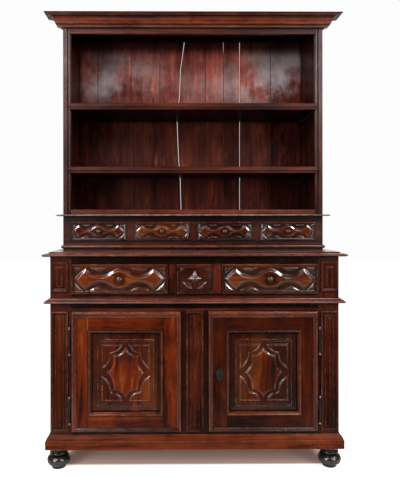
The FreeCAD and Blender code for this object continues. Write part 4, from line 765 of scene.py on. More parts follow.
def board_ramp(tree, across):
    """One tone for each back board, from the left to the right. A new ramp has two stops already."""
    outputs = tree.add("ShaderNodeValToRGB", [("Fac", across)])
    ramp = outputs["Color"].node.color_ramp
    ramp.interpolation = "CONSTANT"
    stops = ramp.elements
    made = len(stops)
    for number, (joint, tone) in enumerate(zip((-1.0,) + RACK_JOINTS, RACK_TONES)):
        place = (joint + 1.0) / 2.0
        stop = stops[number] if number < made else stops.new(place)
        stop.position = place
        stop.color = (tone,) * 3 + (1.0,)
    return outputs["Color"]


def board_tones(tree, place, colour):
    """Each back board has its own depth of colour; all carry dust with a painted sheen towards the top and at
    the sides, are brightened upwards by painted light, and are darkened by a painted shadow below the rack's
    top.
    """
    across, height = (tree.parts(place)[axis] for axis in "XZ")
    ramp = board_ramp(tree, tree.range(across, -RACK_HALF, RACK_HALF, smooth=False))
    colour = tree.dimmed(colour, tree.range(ramp, *TONE_LEVELS, smooth=False))
    colour = tree.mix(tree.layer(place, "flecks"), colour, FLECK)
    # Painted light, with some fading: the boards grow brighter in two steps of height.
    colour = tree.dimmed(colour, tree.times(tree.range(height, *PAINTED_LIGHT_LOW), tree.range(height, *PAINTED_LIGHT_HIGH)))
    sides = tree.times(tree.range(tree.size(across), *DUST_AND_SHEEN_ASIDE), tree.range(across, *DUST_AND_SHEEN_RIGHT))
    dust = tree.times(tree.layer(place, "board_dust_and_sheen"), tree.range(height, *DUST_AND_SHEEN_HEIGHT))
    share = tree.times(dust, tree.times(sides, DUST_AND_SHEEN_SHARE), tree.range(height, *TOP_SHADOW, *SHADOW_DUST))
    # Painted shadow: the boards turn dark below the rack's top.
    return tree.mix(tree.range(height, *TOP_SHADOW, *SHADOW_DARKNESS), tree.mix(share, colour, DUST_AND_SHEEN), WAX_AND_SHADE)


def stile_sheen_and_bloom(tree, place, colour):
    """A painted sheen with some pale bloom on the old polish, thicker towards the top."""
    share = tree.range(tree.parts(place)["Z"], *STILE_SHEEN_AND_BLOOM, smooth=False)
    return tree.mix(tree.times(share, tree.layer(place, "haze")), colour, PALE_WEAR_DUST_AND_SHEEN)


def blade_glare(tree, place, colour):
    """Painted reflection: the waist board's thin blade is painted pale along its edge."""
    parts = tree.parts(place)
    ahead = tree.math("LESS_THAN", parts["Y"], BLADE_BACK)
    aside = tree.math("GREATER_THAN", tree.size(parts["X"]), BLADE_HALF)
    edge = tree.times(tree.between(parts["Z"], *BLADE_SPAN), tree.most(ahead, aside))
    return tree.mix(tree.times(edge, tree.layer(place, "blade")), colour, PALE_GLARE)


def banded(rows, over, layer=None, blur=FINE_BLUR):
    """A tone that lays a colour over some heights, each with its share, thinned by a noise layer."""
    def tone(tree, place, colour):
        height = tree.parts(place)["Z"]
        clouds = tree.layer(place, layer) if layer else 1.0
        for low, high, share in rows:
            colour = tree.mix(tree.times(tree.band(height, low, high, blur), clouds, share), colour, over)
        return colour
    return tone


def scuffed_and_lit(tree, place, colour):
    """A scratched pale line on the rack's foot bead: partly wear, partly a painted highlight."""
    parts = tree.parts(place)
    aside = tree.size(tree.minus(parts["X"], SCUFF_MIDDLE))
    near = tree.range(aside, SCUFF_HALF, SCUFF_FULL)
    scuff = tree.times(near, tree.layer(place, "scratches"), tree.band(parts["Z"], *SCUFF_SPAN, FINE_BLUR))
    return tree.mix(tree.times(scuff, SCUFF_PALE), colour, PALE_WEAR_DUST_AND_SHEEN)


def shade_and_wax_under_waist(tree, place, colour):
    """Painted shade with old wax: the frame is painted black under the waist moulding, the drawers and the
    worktop, where their shadows fall, and beside the muntin."""
    parts = tree.parts(place)
    beside = tree.band(tree.size(parts["X"]), *MUNTIN_GAP, SOFT_BLUR)
    dark = tree.times(beside, tree.times(tree.math("LESS_THAN", parts["Z"], DOOR_TOP), GAP_SHADE_AND_WAX))
    dark = tree.most(dark, *(tree.band(parts["Z"], *span, SOFT_BLUR) for span in SHADE_AND_WAX_BANDS))
    return tree.mix(tree.times(dark, FRAME_SHADE_AND_WAX), colour, WAX_AND_SHADE)


# Settings that several finishes share.
PANEL = {"rough": 0.12, "specular": 0.32, "edge": 0.0008, "wear": 0.80, "bump": 0.1, "reach": 0.02,
         "patina": 0.6, "rubbed": GOLDEN_RIM}
CARVED = {"rough": 0.12, "specular": 0.5, "edge": 0.0008, "bump": 0.1, "reach": 0.02, "patina": 0.5}
framing = wood("walnut_upright", "z", 2.0, DEEP)
# The right panel's wood is a darker copy of the left one's: painted shade for the weaker light on the right.
left_panel_wood = wood("left_panel_walnut", "laid", 5.1, shaded(RED, 0.76), **PANEL)
right_panel_wood = wood("right_panel_walnut", "laid", 5.3, shaded(RED, 0.46), **PANEL)
carved_red = wood("carved_walnut", "laid", 5.0, RUSSET, **CARVED)
carved_gold = wood("golden_drawer_walnut", "laid", 5.6, GOLD, **CARVED)
carved_rack = wood("rack_drawer_walnut", "laid", 5.2, shaded(GLOW, 0.62), **{**CARVED, "reach": 0.015})
carved_deep = wood(
    "pilaster_walnut", "laid", 5.5, shaded(DEEP, 0.66), edge=0.0008, reach=0.02, specular=0.07)
# Dust with a painted sheen lies in bands on the mouldings' noses and the worktop, and the foot bead's pale
# line is partly wear, partly a painted highlight.
moulded = wood(
    "moulding_walnut", "laid", 6.0, GLOW, banded(DUST_AND_SHEEN_BANDS, PALE_WEAR_DUST_AND_SHEEN, "ledge_dust_and_sheen"), scuffed_and_lit, rough=0.18, wear=0.6,
    specular=0.5)
moulded_plinth = wood("plinth_walnut", "laid", 6.3, shaded(RUSSET, 0.92), specular=0.08)
moulded_red = wood("door_moulding_walnut", "laid", 6.5, GLOW, rough=0.18, reach=0.04, specular=0.4)
# Painted light and shade: the cornice's downward bands are painted pale, and its grooves and top line are
# painted dark.
moulded_top = wood(
    "cornice_walnut", "laid", 6.7, GLOW, banded(CORNICE_LIT_BANDS, CORNICE_PAINTED_LIGHT, "cornice"),
    banded(CORNICE_SHADE_BANDS, WAX_AND_SHADE), rough=0.22, specular=0.3, under=0.2)
rack = wood("rack_walnut_level", "x", 6.8, RACK, rough=0.33)
inner = wood("inner_wood", "x", 7.0, PALE, wear=0.2)
back_wood = wood("back_boards", "laid", 8.0, BACK, board_tones, rough=0.38, specular=0.06)
ebony = wood("ebonised_wood", "laid", 9.0, BLACK, rough=0.15, specular=0.6, wear=0.2, bump=0.06, edge=0.0)
iron = old_metal("aged_iron", IRON, 0.36)
hinge_iron = old_metal("hinge_iron", HINGE_IRON, 0.34, FINIAL_GLINTS)
bronze = old_metal("aged_bronze", BRONZE, 0.33)

# What the nodes wear; those not named here are of plain inner wood.
FINISHES = {
    "base_corner_posts": framing, "base_side_panels": framing,
    "base_front_frame": wood("front_frame_walnut", base_rails, 12.0, DEEP, shade_and_wax_under_waist),
    "base_side_rails": wood("walnut_deep", "y", 3.0, DEEP),
    "base_rear_rails": wood("walnut_level", "x", 1.0, DEEP),
    "base_back_boards": wood("base_back_boards", "z", 8.5, BACK),
    # The right door's frame is a darker copy of the left door's, painted shade for the weaker light on the
    # right; both frames reach far with the ambient-occlusion darkening, painted shade round their edges.
    "left_door_frame": wood(
        "door_walnut", door_rails, 4.0, shaded(RED, 0.84), patina=0.55, reach=0.055),
    "right_door_frame": wood(
        "right_door_walnut", door_rails, 4.6, shaded(RED, 0.32), patina=0.6, reach=0.055),
    "rack_top_and_frieze": rack, "rack_shelves": rack, "shelf_mouldings": rack,
    # Painted shade: the drawer case's frame is painted dark under the waist board's blade and under the
    # drawers.
    "rack_case_front_frame": wood(
        "rack_case_walnut", "x", 6.9, RACK, banded(CASE_SHADE, WAX_AND_SHADE, blur=SOFT_BLUR), rough=0.33),
    "rack_stiles": wood(
        "rack_walnut_upright", "z", 7.2, shaded(RACK, 0.75), stile_sheen_and_bloom, rough=0.28, specular=0.15),
    # Painted shade: the rack's inner sides are a darker copy of the rack's wood, for the shade they stand in.
    "rack_sides": wood("rack_side_walnut", "z", 7.4, shaded(RACK, 0.45)),
    # The waist board is a lighter copy of the rack's wood: painted light for its lit face.
    "waist_board": wood(
        "waist_board_walnut", "x", 7.7, shaded(RACK, 1.8), blade_glare, specular=0.25, under=0.4),
    "door_lock": iron, "lock_bolt": iron, "turn_button_screw": iron, "hinge_pintles": hinge_iron,
    "left_hinge_knuckles": hinge_iron, "right_hinge_knuckles": hinge_iron,
}


def dress_nodes():
    for name, node in nodes.items():
        node.data.materials.clear()
        node.data.materials.append(FINISHES.get(name, inner))


# Carving. Each carving gives three fields over a front: its rise, its rubbed edges and its waxed hollows.

# A bevel's rise by shares of its width, its rubbed edge, and the dark line at its foot.
BEVEL_STEPS = (0.0, 0.1, 0.9, 1.0, 1.15)
BEVEL_RISES = (0.0, 0.06, 0.93, 0.99, 1.0)
FORM_RIM = 0.0026
FOOT_MIDDLE, FOOT_LINE = -0.0004, 0.0042


def carved_form(distance, width, height, grime=0.0, waxed=0.8, foot=1.0):
    """A raised form, by the distance in from its outline. The ground's wax climbs its bevel by a share."""
    rise = height * np.interp(distance / width, BEVEL_STEPS, BEVEL_RISES)
    rim = bump_at(distance, width, FORM_RIM)
    line = foot * bump_at(distance, FOOT_MIDDLE, FOOT_LINE)
    return rise, rim, line, smooth_step(distance, 0.0, width * waxed), grime


def add_form(field, form):
    """Lay a form on a field: its rise is added, and it carries its own grime over what lay there."""
    rise, rim, hollow = field
    form_rise, form_rim, line, over, grime = form
    hollow = hollow * (1.0 - over) + grime * over
    return rise + form_rise, np.maximum(rim, form_rim), np.maximum(hollow, line)


# Rims and waxes below hold soft lines: where each lies in from an edge, its half width and its strength.
# Door panels: the raised field's half sizes, bevel and step. The scratched line's strength is its depth.
PANEL_FACE = -0.220
PANEL_CELL = 0.0015
FIELD_HALF = (0.1335, 0.158)
FIELD_BEVEL = 0.026
FIELD_RISE = 0.0078
FIELD_STEP, FIELD_EASE = 0.62, 0.0016
FIELD_LINE = ((0.0105, 0.0018, 0.0011),)
FIELD_RIMS = ((0.002, 0.0022, 1.0),)
FIELD_WAXES = ((-0.001, 0.005, 0.8), (-0.027, 0.006, 0.8), (0.0105, 0.0018, 0.7))
PANEL_UNEVEN = (0.00018, 0.031, 1.0)
# The star: half sizes, its corners by shares of them, the bow of its sides, its bevel and its rise.
STAR_HALF = (0.090, 0.121)
STAR_WAY = [(0.0, 1.0), (0.67, 0.70), (1.0, 0.0), (0.67, -0.70), (0.0, -1.0), (-0.67, -0.70), (-1.0, 0.0),
            (-0.67, 0.70)]
STAR_BOW = -0.0125
STAR_BEVEL = 0.0078
STAR_RISE = 0.0055
# The corner pieces: straight sides, tip beside the star, far ends, and dished middle.
CORNER_SIDE = (0.116, 0.136)
CORNER_TIP = (0.0635, 0.0880)
CORNER_END = 0.011
CORNER_BEVEL = 0.0055
CORNER_RISE = 0.0048
DISH_DEPTH, DISH_EDGE, DISH_FLOOR = 0.0022, 0.0075, 0.0115
DISH_RIM, DISH_RUBBED = 0.002, 0.5
# Old wax on the bevel, the field and the corner pieces, and how it climbs the forms.
BEVEL_GRIME = 0.66
FIELD_GRIME = 0.58
CORNER_GRIME = 0.46
STAR_WAXED = 0.35
STAR_FOOT = 0.45


def star_corners():
    return [(STAR_HALF[0] * x, STAR_HALF[1] * z, STAR_BOW) for x, z in STAR_WAY]


def four_ways(shape):
    """A small piece's outline, mirrored into all four quarters of the front."""
    return [
        bowed_outline([(side * x, up * z, side * up * bow) for x, z, bow in shape])
        for side in (-1, 1) for up in (-1, 1)
    ]


def corner_outlines():
    """Each corner piece has two straight sides and two arcs that run beside the star."""
    return four_ways([
        (*CORNER_SIDE, 0.0), (CORNER_END, CORNER_SIDE[1], STAR_BOW), (*CORNER_TIP, STAR_BOW),
        (CORNER_SIDE[0], CORNER_END, 0.0),
    ])


def field_marks(edge):
    """The raised field's rise, rubbed edge and wax, by the distance in from its sides."""
    rise = FIELD_RISE * np.where(
        edge < 0.0, FIELD_STEP * np.clip(1.0 + edge / FIELD_BEVEL, 0.0, 1.0),
        FIELD_STEP + (1.0 - FIELD_STEP) * smooth_step(edge, 0.0, FIELD_EASE))
    hollow = np.maximum(soft_lines(edge, FIELD_WAXES), np.where(edge < 0.0, BEVEL_GRIME, FIELD_GRIME))
    return rise - soft_lines(edge, FIELD_LINE), soft_lines(edge, FIELD_RIMS), hollow


def panel_carving(x, z):
    """A fielded panel with a bevel, a step, a scratched line, the star and four dished corner pieces."""
    field = field_marks(rectangle_distance(x, z, *FIELD_HALF))
    inside = inside_distance(bowed_outline(star_corners()), x, z)
    field = add_form(field, carved_form(inside, STAR_BEVEL, STAR_RISE, 0.0, STAR_WAXED, STAR_FOOT))
    for outline in corner_outlines():
        inside = inside_distance(outline, x, z)
        rise, rim, *marks = carved_form(
            inside, CORNER_BEVEL, CORNER_RISE, CORNER_GRIME, STAR_WAXED, STAR_FOOT)
        rise = rise - DISH_DEPTH * smooth_step(inside, DISH_EDGE, DISH_FLOOR)
        rim = np.maximum(rim, DISH_RUBBED * bump_at(inside, DISH_EDGE, DISH_RIM))
        field = add_form(field, (rise, rim, *marks))
    rise, rim, hollow = field
    return planed(rise, x, z, *PANEL_UNEVEN), rim, hollow


# Drawer fronts, in shares of a front's width and height from its middle: the ribbon's tip, its upper line
# over swell, hollow and lobe, the lens pieces and the corner pieces.
RIBBON_TIP = 0.466
RIBBON_LINE = [(0.0, 0.365), (0.066, 0.305), (0.137, 0.17), (0.21, 0.135), (0.285, 0.20), (0.350, 0.365)]
RIBBON_END_BOW = 0.035
POINTS_EACH, END_POINTS = 8, 18
LENS_ENDS = (0.105, 0.318)
LENS_RISE = 0.145
CORNER_REACH = 0.105
CORNER_DROP = 0.32
CORNER_BOW = -0.02
# The boss's tips and the bow of its sides, and the ends and bows of the petals beside it.
BOSS_TIP = (0.40, 0.385)
BOSS_BOW = -0.145
PETAL_ENDS = ((0.350, 0.075), (0.070, 0.340))
PETAL_BOWS = (-0.045, -0.14)
# The raised corner pieces over the boss: their reach along and down, and the bow of their inner side.
BOSS_CORNER = (0.26, 0.20)
BOSS_CORNER_BOW = -0.03
# The border round a front, by shares of its width, and so the places of its soft lines.
BORDER_STEPS = (0.0, 0.16, 0.52, 0.66, 1.0, 1.12)
BORDER_RISES = (0.5, 1.0, 0.92, 0.5, 0.35, 0.0)
BORDER_RISE = 0.041
BORDER_RIMS = ((0.18, 0.0022, 0.9),)
BORDER_WAXES = ((1.1, 0.0035, 1.0), (0.66, 0.002, 0.5))
# Bevel width and rises of a ribbon and of the small pieces, as shares of a front's height.
RIBBON_BEVEL, RIBBON_RISE, RACK_RISE = 0.107, 0.0630, 0.0495
BOSS_BEVEL, BOSS_RISE = 0.165, 0.0670
SMALL_BEVEL = 0.050
SMALL_RISE = 0.0300
SCOOP_RISE = -0.0300
DEEPEST = -0.0042
DRAWER_UNEVEN = (0.0002, 0.024)
# Old wax on the ground; on the border wax with painted shade, little on its lit top and much at its ends and
# foot; old wax on the small pieces and round a knob.
GROUND_GRIME = 0.75
TOP_WAX_AND_SHADE, END_WAX_AND_SHADE, FOOT_WAX_AND_SHADE = 0.04, 0.90, 0.80
SMALL_GRIME = 0.60
DISC_GRIME = 0.55
DISC_RADIUS = 0.225
DISC_EDGE = (-0.003, 0.004)


def ribbon_outline(width, height):
    """The upper line flows from lobe over swell to lobe, the lower mirrors it, with a tip at each end."""
    half = np.array(RIBBON_LINE)
    stations = np.concatenate([half[:0:-1] * (-1.0, 1.0), half])
    upper = flowing(stations, POINTS_EACH * len(stations)) * (width, height)
    tip = width * RIBBON_TIP
    lobe_x, lobe_z = upper[-1]
    bow = height * RIBBON_END_BOW
    end = bowed_outline([(lobe_x, lobe_z, bow), (tip, 0.0, bow), (lobe_x, -lobe_z, 0.0)])[:END_POINTS]
    return np.concatenate([upper, end, upper[::-1] * (1.0, -1.0), -end])


def boss_outline(width, height):
    tip_x, tip_z, bow = width * BOSS_TIP[0], height * BOSS_TIP[1], height * BOSS_BOW
    return bowed_outline([(-tip_x, 0.0, bow), (0.0, tip_z, bow), (tip_x, 0.0, bow), (0.0, -tip_z, bow)])


def corner_pieces(width, height, border, reach, drop, bow):
    """Three-sided pieces in the corners inside the border."""
    side, top = width / 2 - border, height / 2 - border
    return four_ways([
        (side, top, 0.0), (side, top - height * drop, height * bow), (side - width * reach, top, 0.0)])


def ribbon_pieces(width, height, border):
    """The three-sided corner pieces, and the lens pieces over and under the hollows."""
    corners = corner_pieces(width, height, border, CORNER_REACH, CORNER_DROP, CORNER_BOW)
    top = height / 2 - border
    left, right = LENS_ENDS
    lenses = four_ways([(width * left, top, 0.0), (width * right, top, height * LENS_RISE)])
    return [(outline, SMALL_RISE) for outline in corners + lenses]


def boss_petals(width, height, border):
    """Two leaf-shaped scoops under the boss, and two raised pieces in the upper corners."""
    leaves = four_ways([
        (width * x, height * z, height * bow) for (x, z), bow in zip(PETAL_ENDS, PETAL_BOWS)])
    corners = corner_pieces(width, height, border, *BOSS_CORNER, BOSS_CORNER_BOW)
    return [(outline, SCOOP_RISE) for outline in leaves[::2]] + [
        (outline, SMALL_RISE) for outline in corners[1::2]]


RIBBON = (ribbon_outline, ribbon_pieces, RIBBON_BEVEL, RIBBON_RISE)
RACK_RIBBON = (ribbon_outline, ribbon_pieces, RIBBON_BEVEL, RACK_RISE)
BOSS = (boss_outline, boss_petals, BOSS_BEVEL, BOSS_RISE)


def border_marks(x, z, width, height, border):
    """The border's rise, its rubbed edge and its wax with painted shade: the ends and the foot are painted
    darker than the lit top.
    """
    edge = rectangle_distance(x, z, width / 2, height / 2)
    rise = BORDER_RISE * height * np.interp(edge / border, BORDER_STEPS, BORDER_RISES)
    sides = width / 2 - np.abs(x) < height / 2 - np.abs(z)
    grime = np.where(sides, END_WAX_AND_SHADE, np.where(z > 0.0, TOP_WAX_AND_SHADE, FOOT_WAX_AND_SHADE))
    hollow = np.maximum(soft_lines(edge, BORDER_WAXES, border), np.where(edge < border, grime, GROUND_GRIME))
    return rise, soft_lines(edge, BORDER_RIMS, border), hollow


def drawer_carving(width, height, border, form, seed):
    """A raised border, the ribbon or boss with its wide bevel, and the small pieces round it."""
    outline, pieces, bevel, form_rise = form
    middle = outline(width, height)
    small = pieces(width, height, border)

    def carving(x, z):
        field = border_marks(x, z, width, height, border)
        inside = inside_distance(middle, x, z)
        field = add_form(field, carved_form(inside, bevel * height, form_rise * height))
        for piece, rise in small:
            inside = inside_distance(piece, x, z)
            field = add_form(field, carved_form(inside, SMALL_BEVEL * height, rise * height, SMALL_GRIME))
        rise, rim, hollow = field
        disc = smooth_step(DISC_RADIUS * height - np.hypot(x, z), *DISC_EDGE)
        rise = np.clip(planed(rise, x, z, *DRAWER_UNEVEN, seed), DEEPEST, None)
        return rise, rim, np.maximum(hollow, DISC_GRIME * disc)
    return carving


# Pilasters: the border's outline across its width, then the sunk margin and the ridged field.
PILASTER_STEPS = (0.0, 0.25, 0.62, 1.0, 1.15)
PILASTER_RISES = (0.62, 1.0, 0.94, 0.42, 0.0)
PILASTER_BORDER = 0.0135
PILASTER_RISE = 0.0058
PILASTER_MARGIN = 0.0185
STRIP_STEP, STRIP_EASE = 0.0022, 0.0016
RIDGE_RISE, RIDGE_FOOT, RIDGE_WIDTH = 0.0034, 0.0085, 0.0125
RIDGE_HALF, RIDGE_RUBBED, RIDGE_FROM = 0.0018, 0.75, 0.010
STRIP_RIMS = ((0.003, 0.0028, 1.0), (0.0203, 0.0018, 1.0))
STRIP_WAXES = ((0.0168, 0.003, 1.0), (0.0270, 0.0015, 0.6))
STRIP_UNEVEN = (0.00016, 0.05)
# Framed blocks: the border's slope, and the small field with a flat middle.
BLOCK_STEPS, BLOCK_RISES = (0.0, 0.002, 0.0045, 0.0180), (0.62, 0.95, 1.0, 0.0)
BLOCK_MARGIN, BLOCK_RISE, BLOCK_SLOPE = 0.0195, 0.0044, 0.0085
BLOCK_RIMS = ((0.0035, 0.0018, 1.0), (0.0280, 0.0014, 1.0))
BLOCK_WAXES = ((0.0185, 0.0028, 1.0),)
BLOCK_MIDDLE, MIDDLE_WAX = 0.0105, 0.6
BLOCK_UNEVEN = (0.00016, 0.04)


def pilaster_carving(half_x, half_z, seed):
    """A border with a rounded inner edge, a sunk margin, and a stepped field with a hipped ridge."""
    def carving(x, z):
        edge = rectangle_distance(x, z, half_x, half_z)
        inside = edge - PILASTER_MARGIN
        rise = PILASTER_RISE * np.interp(edge / PILASTER_BORDER, PILASTER_STEPS, PILASTER_RISES)
        rise = rise + STRIP_STEP * smooth_step(inside, 0.0, STRIP_EASE)
        rise = rise + RIDGE_RISE * np.clip((inside - RIDGE_FOOT) / RIDGE_WIDTH, 0.0, 1.0)
        ridge = RIDGE_RUBBED * bump_at(x, 0.0, RIDGE_HALF) * (inside > RIDGE_FROM)
        rim = np.maximum(soft_lines(edge, STRIP_RIMS), ridge)
        return planed(rise, x, z, *STRIP_UNEVEN, seed), rim, soft_lines(edge, STRIP_WAXES)
    return carving


def block_carving(half_x, half_z, seed):
    """A short pilaster: a border that slopes down inside, and a small field with a flat middle."""
    def carving(x, z):
        edge = rectangle_distance(x, z, half_x, half_z)
        inside = edge - BLOCK_MARGIN
        rise = PILASTER_RISE * np.interp(edge, BLOCK_STEPS, BLOCK_RISES)
        rise = rise + BLOCK_RISE * np.clip(inside / BLOCK_SLOPE, 0.0, 1.0)
        flat = MIDDLE_WAX * smooth_step(inside, BLOCK_SLOPE, BLOCK_MIDDLE)
        hollow = np.maximum(soft_lines(edge, BLOCK_WAXES), flat)
        return planed(rise, x, z, *BLOCK_UNEVEN, seed), soft_lines(edge, BLOCK_RIMS), hollow
    return carving


# Pieces of the base

FRONT_FACE = -0.232
RACK_FACE = -0.077
EDGE_WIDTHS = (0.020, 0.020, 0.020, 0.030)
EDGE_RISE = 0.012
EDGE_PROFILE = [(0.0, 0.0), (0.0, 0.62), (0.22, 1.0), (0.40, 0.97), (0.55, 0.78), (0.66, 0.50), (0.80, 0.34),
                (1.0, 0.22), (1.0, 0.0)]
INNER_WIDTHS = (0.016,) * 4
INNER_RISE = 0.007
INNER_PROFILE = [(0.0, -1.0), (0.0, 0.45), (0.14, 0.86), (0.34, 1.0), (0.55, 0.70), (0.78, -0.10),
                 (1.0, -0.70), (1.0, -1.0)]
# The cut of a door moulding's corners, in shares of its width.
RING_CUT = 0.07
INNER_SEED = 0.5
# Rubbed shares of the lit and the dark lengths, a painted highlight on the lit one, and painted shadow with
# wax on the dark and the upright ones.
LIT_LENGTH, DARK_RUBBED, DARK_LENGTH, SIDE_LENGTH = 0.40, 0.2, 0.80, 0.38


def make_door_panels():
    for side, seed, material in (("left", 1.0, left_panel_wood), ("right", 2.0, right_panel_wood)):
        name = f"{side}_door_panel"
        shell = carved_slab(*box_of(name), PANEL_FACE, PANEL_CELL, panel_carving)
        make_piece(f"{side}_star_panel", [shell.grain("z", seed)], material, f"{side}_door", name)


def make_door_mouldings():
    for side, seed in (("left", 3.0), ("right", 4.0)):
        rings = []
        for node, widths, profile, rise, lit, dark, more in (
                (f"{side}_door_frame", EDGE_WIDTHS, EDGE_PROFILE, EDGE_RISE, 2, 0, 0.0),
                (f"{side}_door_panel", INNER_WIDTHS, INNER_PROFILE, INNER_RISE, 0, 2, INNER_SEED)):
            lengths = ring_lengths(
                *box_of(node), widths, rounded(profile, RING_CUT), FRONT_FACE, rise, seed + more)
            # Painted highlight on the lit length, painted shadow on the dark one and painted shade on the
            # uprights.
            lengths[lit].rim = np.maximum(lengths[lit].rim, LIT_LENGTH)
            lengths[dark].rim = lengths[dark].rim * DARK_RUBBED
            lengths[dark].hollow = np.maximum(lengths[dark].hollow, DARK_LENGTH)
            for upright in lengths[1::2]:
                upright.hollow = np.maximum(upright.hollow, SIDE_LENGTH)
            rings += lengths
        make_piece(f"{side}_door_ogees", rings, moulded_red, f"{side}_door", f"{side}_door_mouldings")


# Drawer fronts: body, face, border, form, cell of the grid, finish and seed.
BASE_FRONT = (FRONT_FACE, 0.015)
RACK_FRONT = (RACK_FACE, 0.010)
BASE_CELL, RACK_CELL = 0.0011, 0.00085
DRAWERS = [
    ("base_left_drawer", *BASE_FRONT, RIBBON, BASE_CELL, carved_red, 5.0),
    ("base_centre_drawer", *BASE_FRONT, BOSS, BASE_CELL, carved_red, 6.0),
    ("base_right_drawer", *BASE_FRONT, RIBBON, BASE_CELL, carved_gold, 7.0),
    ("rack_drawer_1", *RACK_FRONT, RACK_RIBBON, RACK_CELL, carved_rack, 8.0),
    ("rack_drawer_2", *RACK_FRONT, RACK_RIBBON, RACK_CELL, carved_gold, 9.0),
    ("rack_drawer_3", *RACK_FRONT, RACK_RIBBON, RACK_CELL, carved_rack, 10.0),
    ("rack_drawer_4", *RACK_FRONT, RACK_RIBBON, RACK_CELL, carved_rack, 11.0),
]


def make_drawer_fronts():
    for drawer, face, border, form, cell, material, seed in DRAWERS:
        name = f"{drawer}_front"
        low, high = box_of(name)
        carving = drawer_carving(high[0] - low[0], high[2] - low[2], border, form, seed)
        shell = carved_slab(low, high, face, cell, carving)
        make_piece(f"{drawer}_carved_front", [shell.grain("x", seed)], material, drawer, name)


KNOB_STATIONS = [(1.0, 0.0), (1.0, 0.10), (0.62, 0.16), (0.42, 0.30), (0.46, 0.42), (0.84, 0.52),
                 (1.0, 0.68), (0.90, 0.86), (0.55, 0.97), (0.02, 1.0)]
KNOB_POINTS = 40
KNOB_LEAST = 0.02


def make_knobs():
    """Turned knobs: a thin rose, a waist and a domed head."""
    radii, heights = flowing(KNOB_STATIONS, KNOB_POINTS).T
    for name in nodes:
        if not name.endswith("_knob"):
            continue
        low, high = box_of(name)
        centre = ((low[0] + high[0]) / 2, high[1], (low[2] + high[2]) / 2)
        shell = turned_shell(
            np.clip(radii, KNOB_LEAST, 1.0) * ((high[0] - low[0]) / 2),
            np.clip(heights, 0.0, 1.0) * (high[1] - low[1]), centre, "front", KNOB_AROUND)
        drawer = name[:-len("_knob")]
        make_piece(f"{drawer}_turned_knob", [shell], bronze, drawer, name)


STRIP_FACE = -0.234
STRIP_WIDTH = 0.080
TALL_TOP, SHORT_FOOT = 0.7515, 0.842
TALL_CELL, SHORT_CELL = 0.0016, 0.0014


def make_pilasters():
    """Three tall strips and two short ones, on the posts and on the muntin."""
    low, high = box_of("pilaster_frames")
    half = STRIP_WIDTH / 2
    shells = []
    for number, middle in enumerate((high[0] - half, low[0] + half, 0.0)):
        for foot, top, make, cell, seed, more in (
                (low[2], TALL_TOP, pilaster_carving, TALL_CELL, 12.0, 2.0),
                (SHORT_FOOT, high[2], block_carving, SHORT_CELL, 15.0, 3.0))[:2 if middle else 1]:
            carving = make(half, (top - foot) / 2, number * more)
            corners = ((middle - half, low[1], foot), (middle + half, high[1], top))
            shells.append(carved_slab(*corners, STRIP_FACE, cell, carving).grain("z", seed + number))
    make_piece("pilaster_strips", shells, carved_deep, "root", "pilaster_frames")


# Mouldings that run round the front and the ends: profiles, and how far the base's stand out and up

BASE_HALF = 0.677
BASE_BACK = 0.268
PLINTH_FOOT = 0.110
PLINTH_PROFILE = [
    (0.0, 0.0), (0.020, 0.0), (0.020, 0.040), (0.0175, 0.0425), (0.0160, 0.048), (0.0125, 0.055),
    (0.0075, 0.0605), (0.0055, 0.064), (0.005, 0.066), (0.0, 0.066),
]
WAIST_FOOT = 0.789
WAIST_SIZE = (0.026, 0.023)
WAIST_SHARES = [(0.0, 0.0), (0.62, 0.0), (0.90, 0.08), (1.0, 0.26), (0.98, 0.44), (0.75, 0.62), (0.42, 0.80),
                (0.34, 0.86), (0.30, 1.0), (0.0, 1.0)]
CORNICE_SHARES = [
    (0.0, 0.0), (0.06, 0.03), (0.16, 0.09), (0.28, 0.20), (0.40, 0.235), (0.42, 0.30), (0.45, 0.46),
    (0.50, 0.60), (0.58, 0.78), (0.61, 0.84), (0.68, 0.87), (0.85, 0.935), (0.97, 0.95), (1.0, 0.965),
    (1.0, 1.0), (0.0, 1.0),
]
BEAD_SHARES = [(0.0, 0.0), (0.45, 0.0), (0.80, 0.10), (0.97, 0.30), (1.0, 0.5), (0.97, 0.70), (0.80, 0.90),
               (0.45, 1.0), (0.0, 1.0)]
MOULDING_CUT, BEAD_CUT = 0.0012, 0.001
# Where the bead is rubbed pale, partly wear and partly a painted highlight: the middle and the half of its
# height there, and how much.
BEAD_HIGHLIGHT_BAND = (0.66, 0.24)
BEAD_HIGHLIGHT = 0.8
PLINTH_SEED, WAIST_SEED, WORKTOP_SEED, BOARD_SEED = 20.0, 24.0, 40.0, 50.0


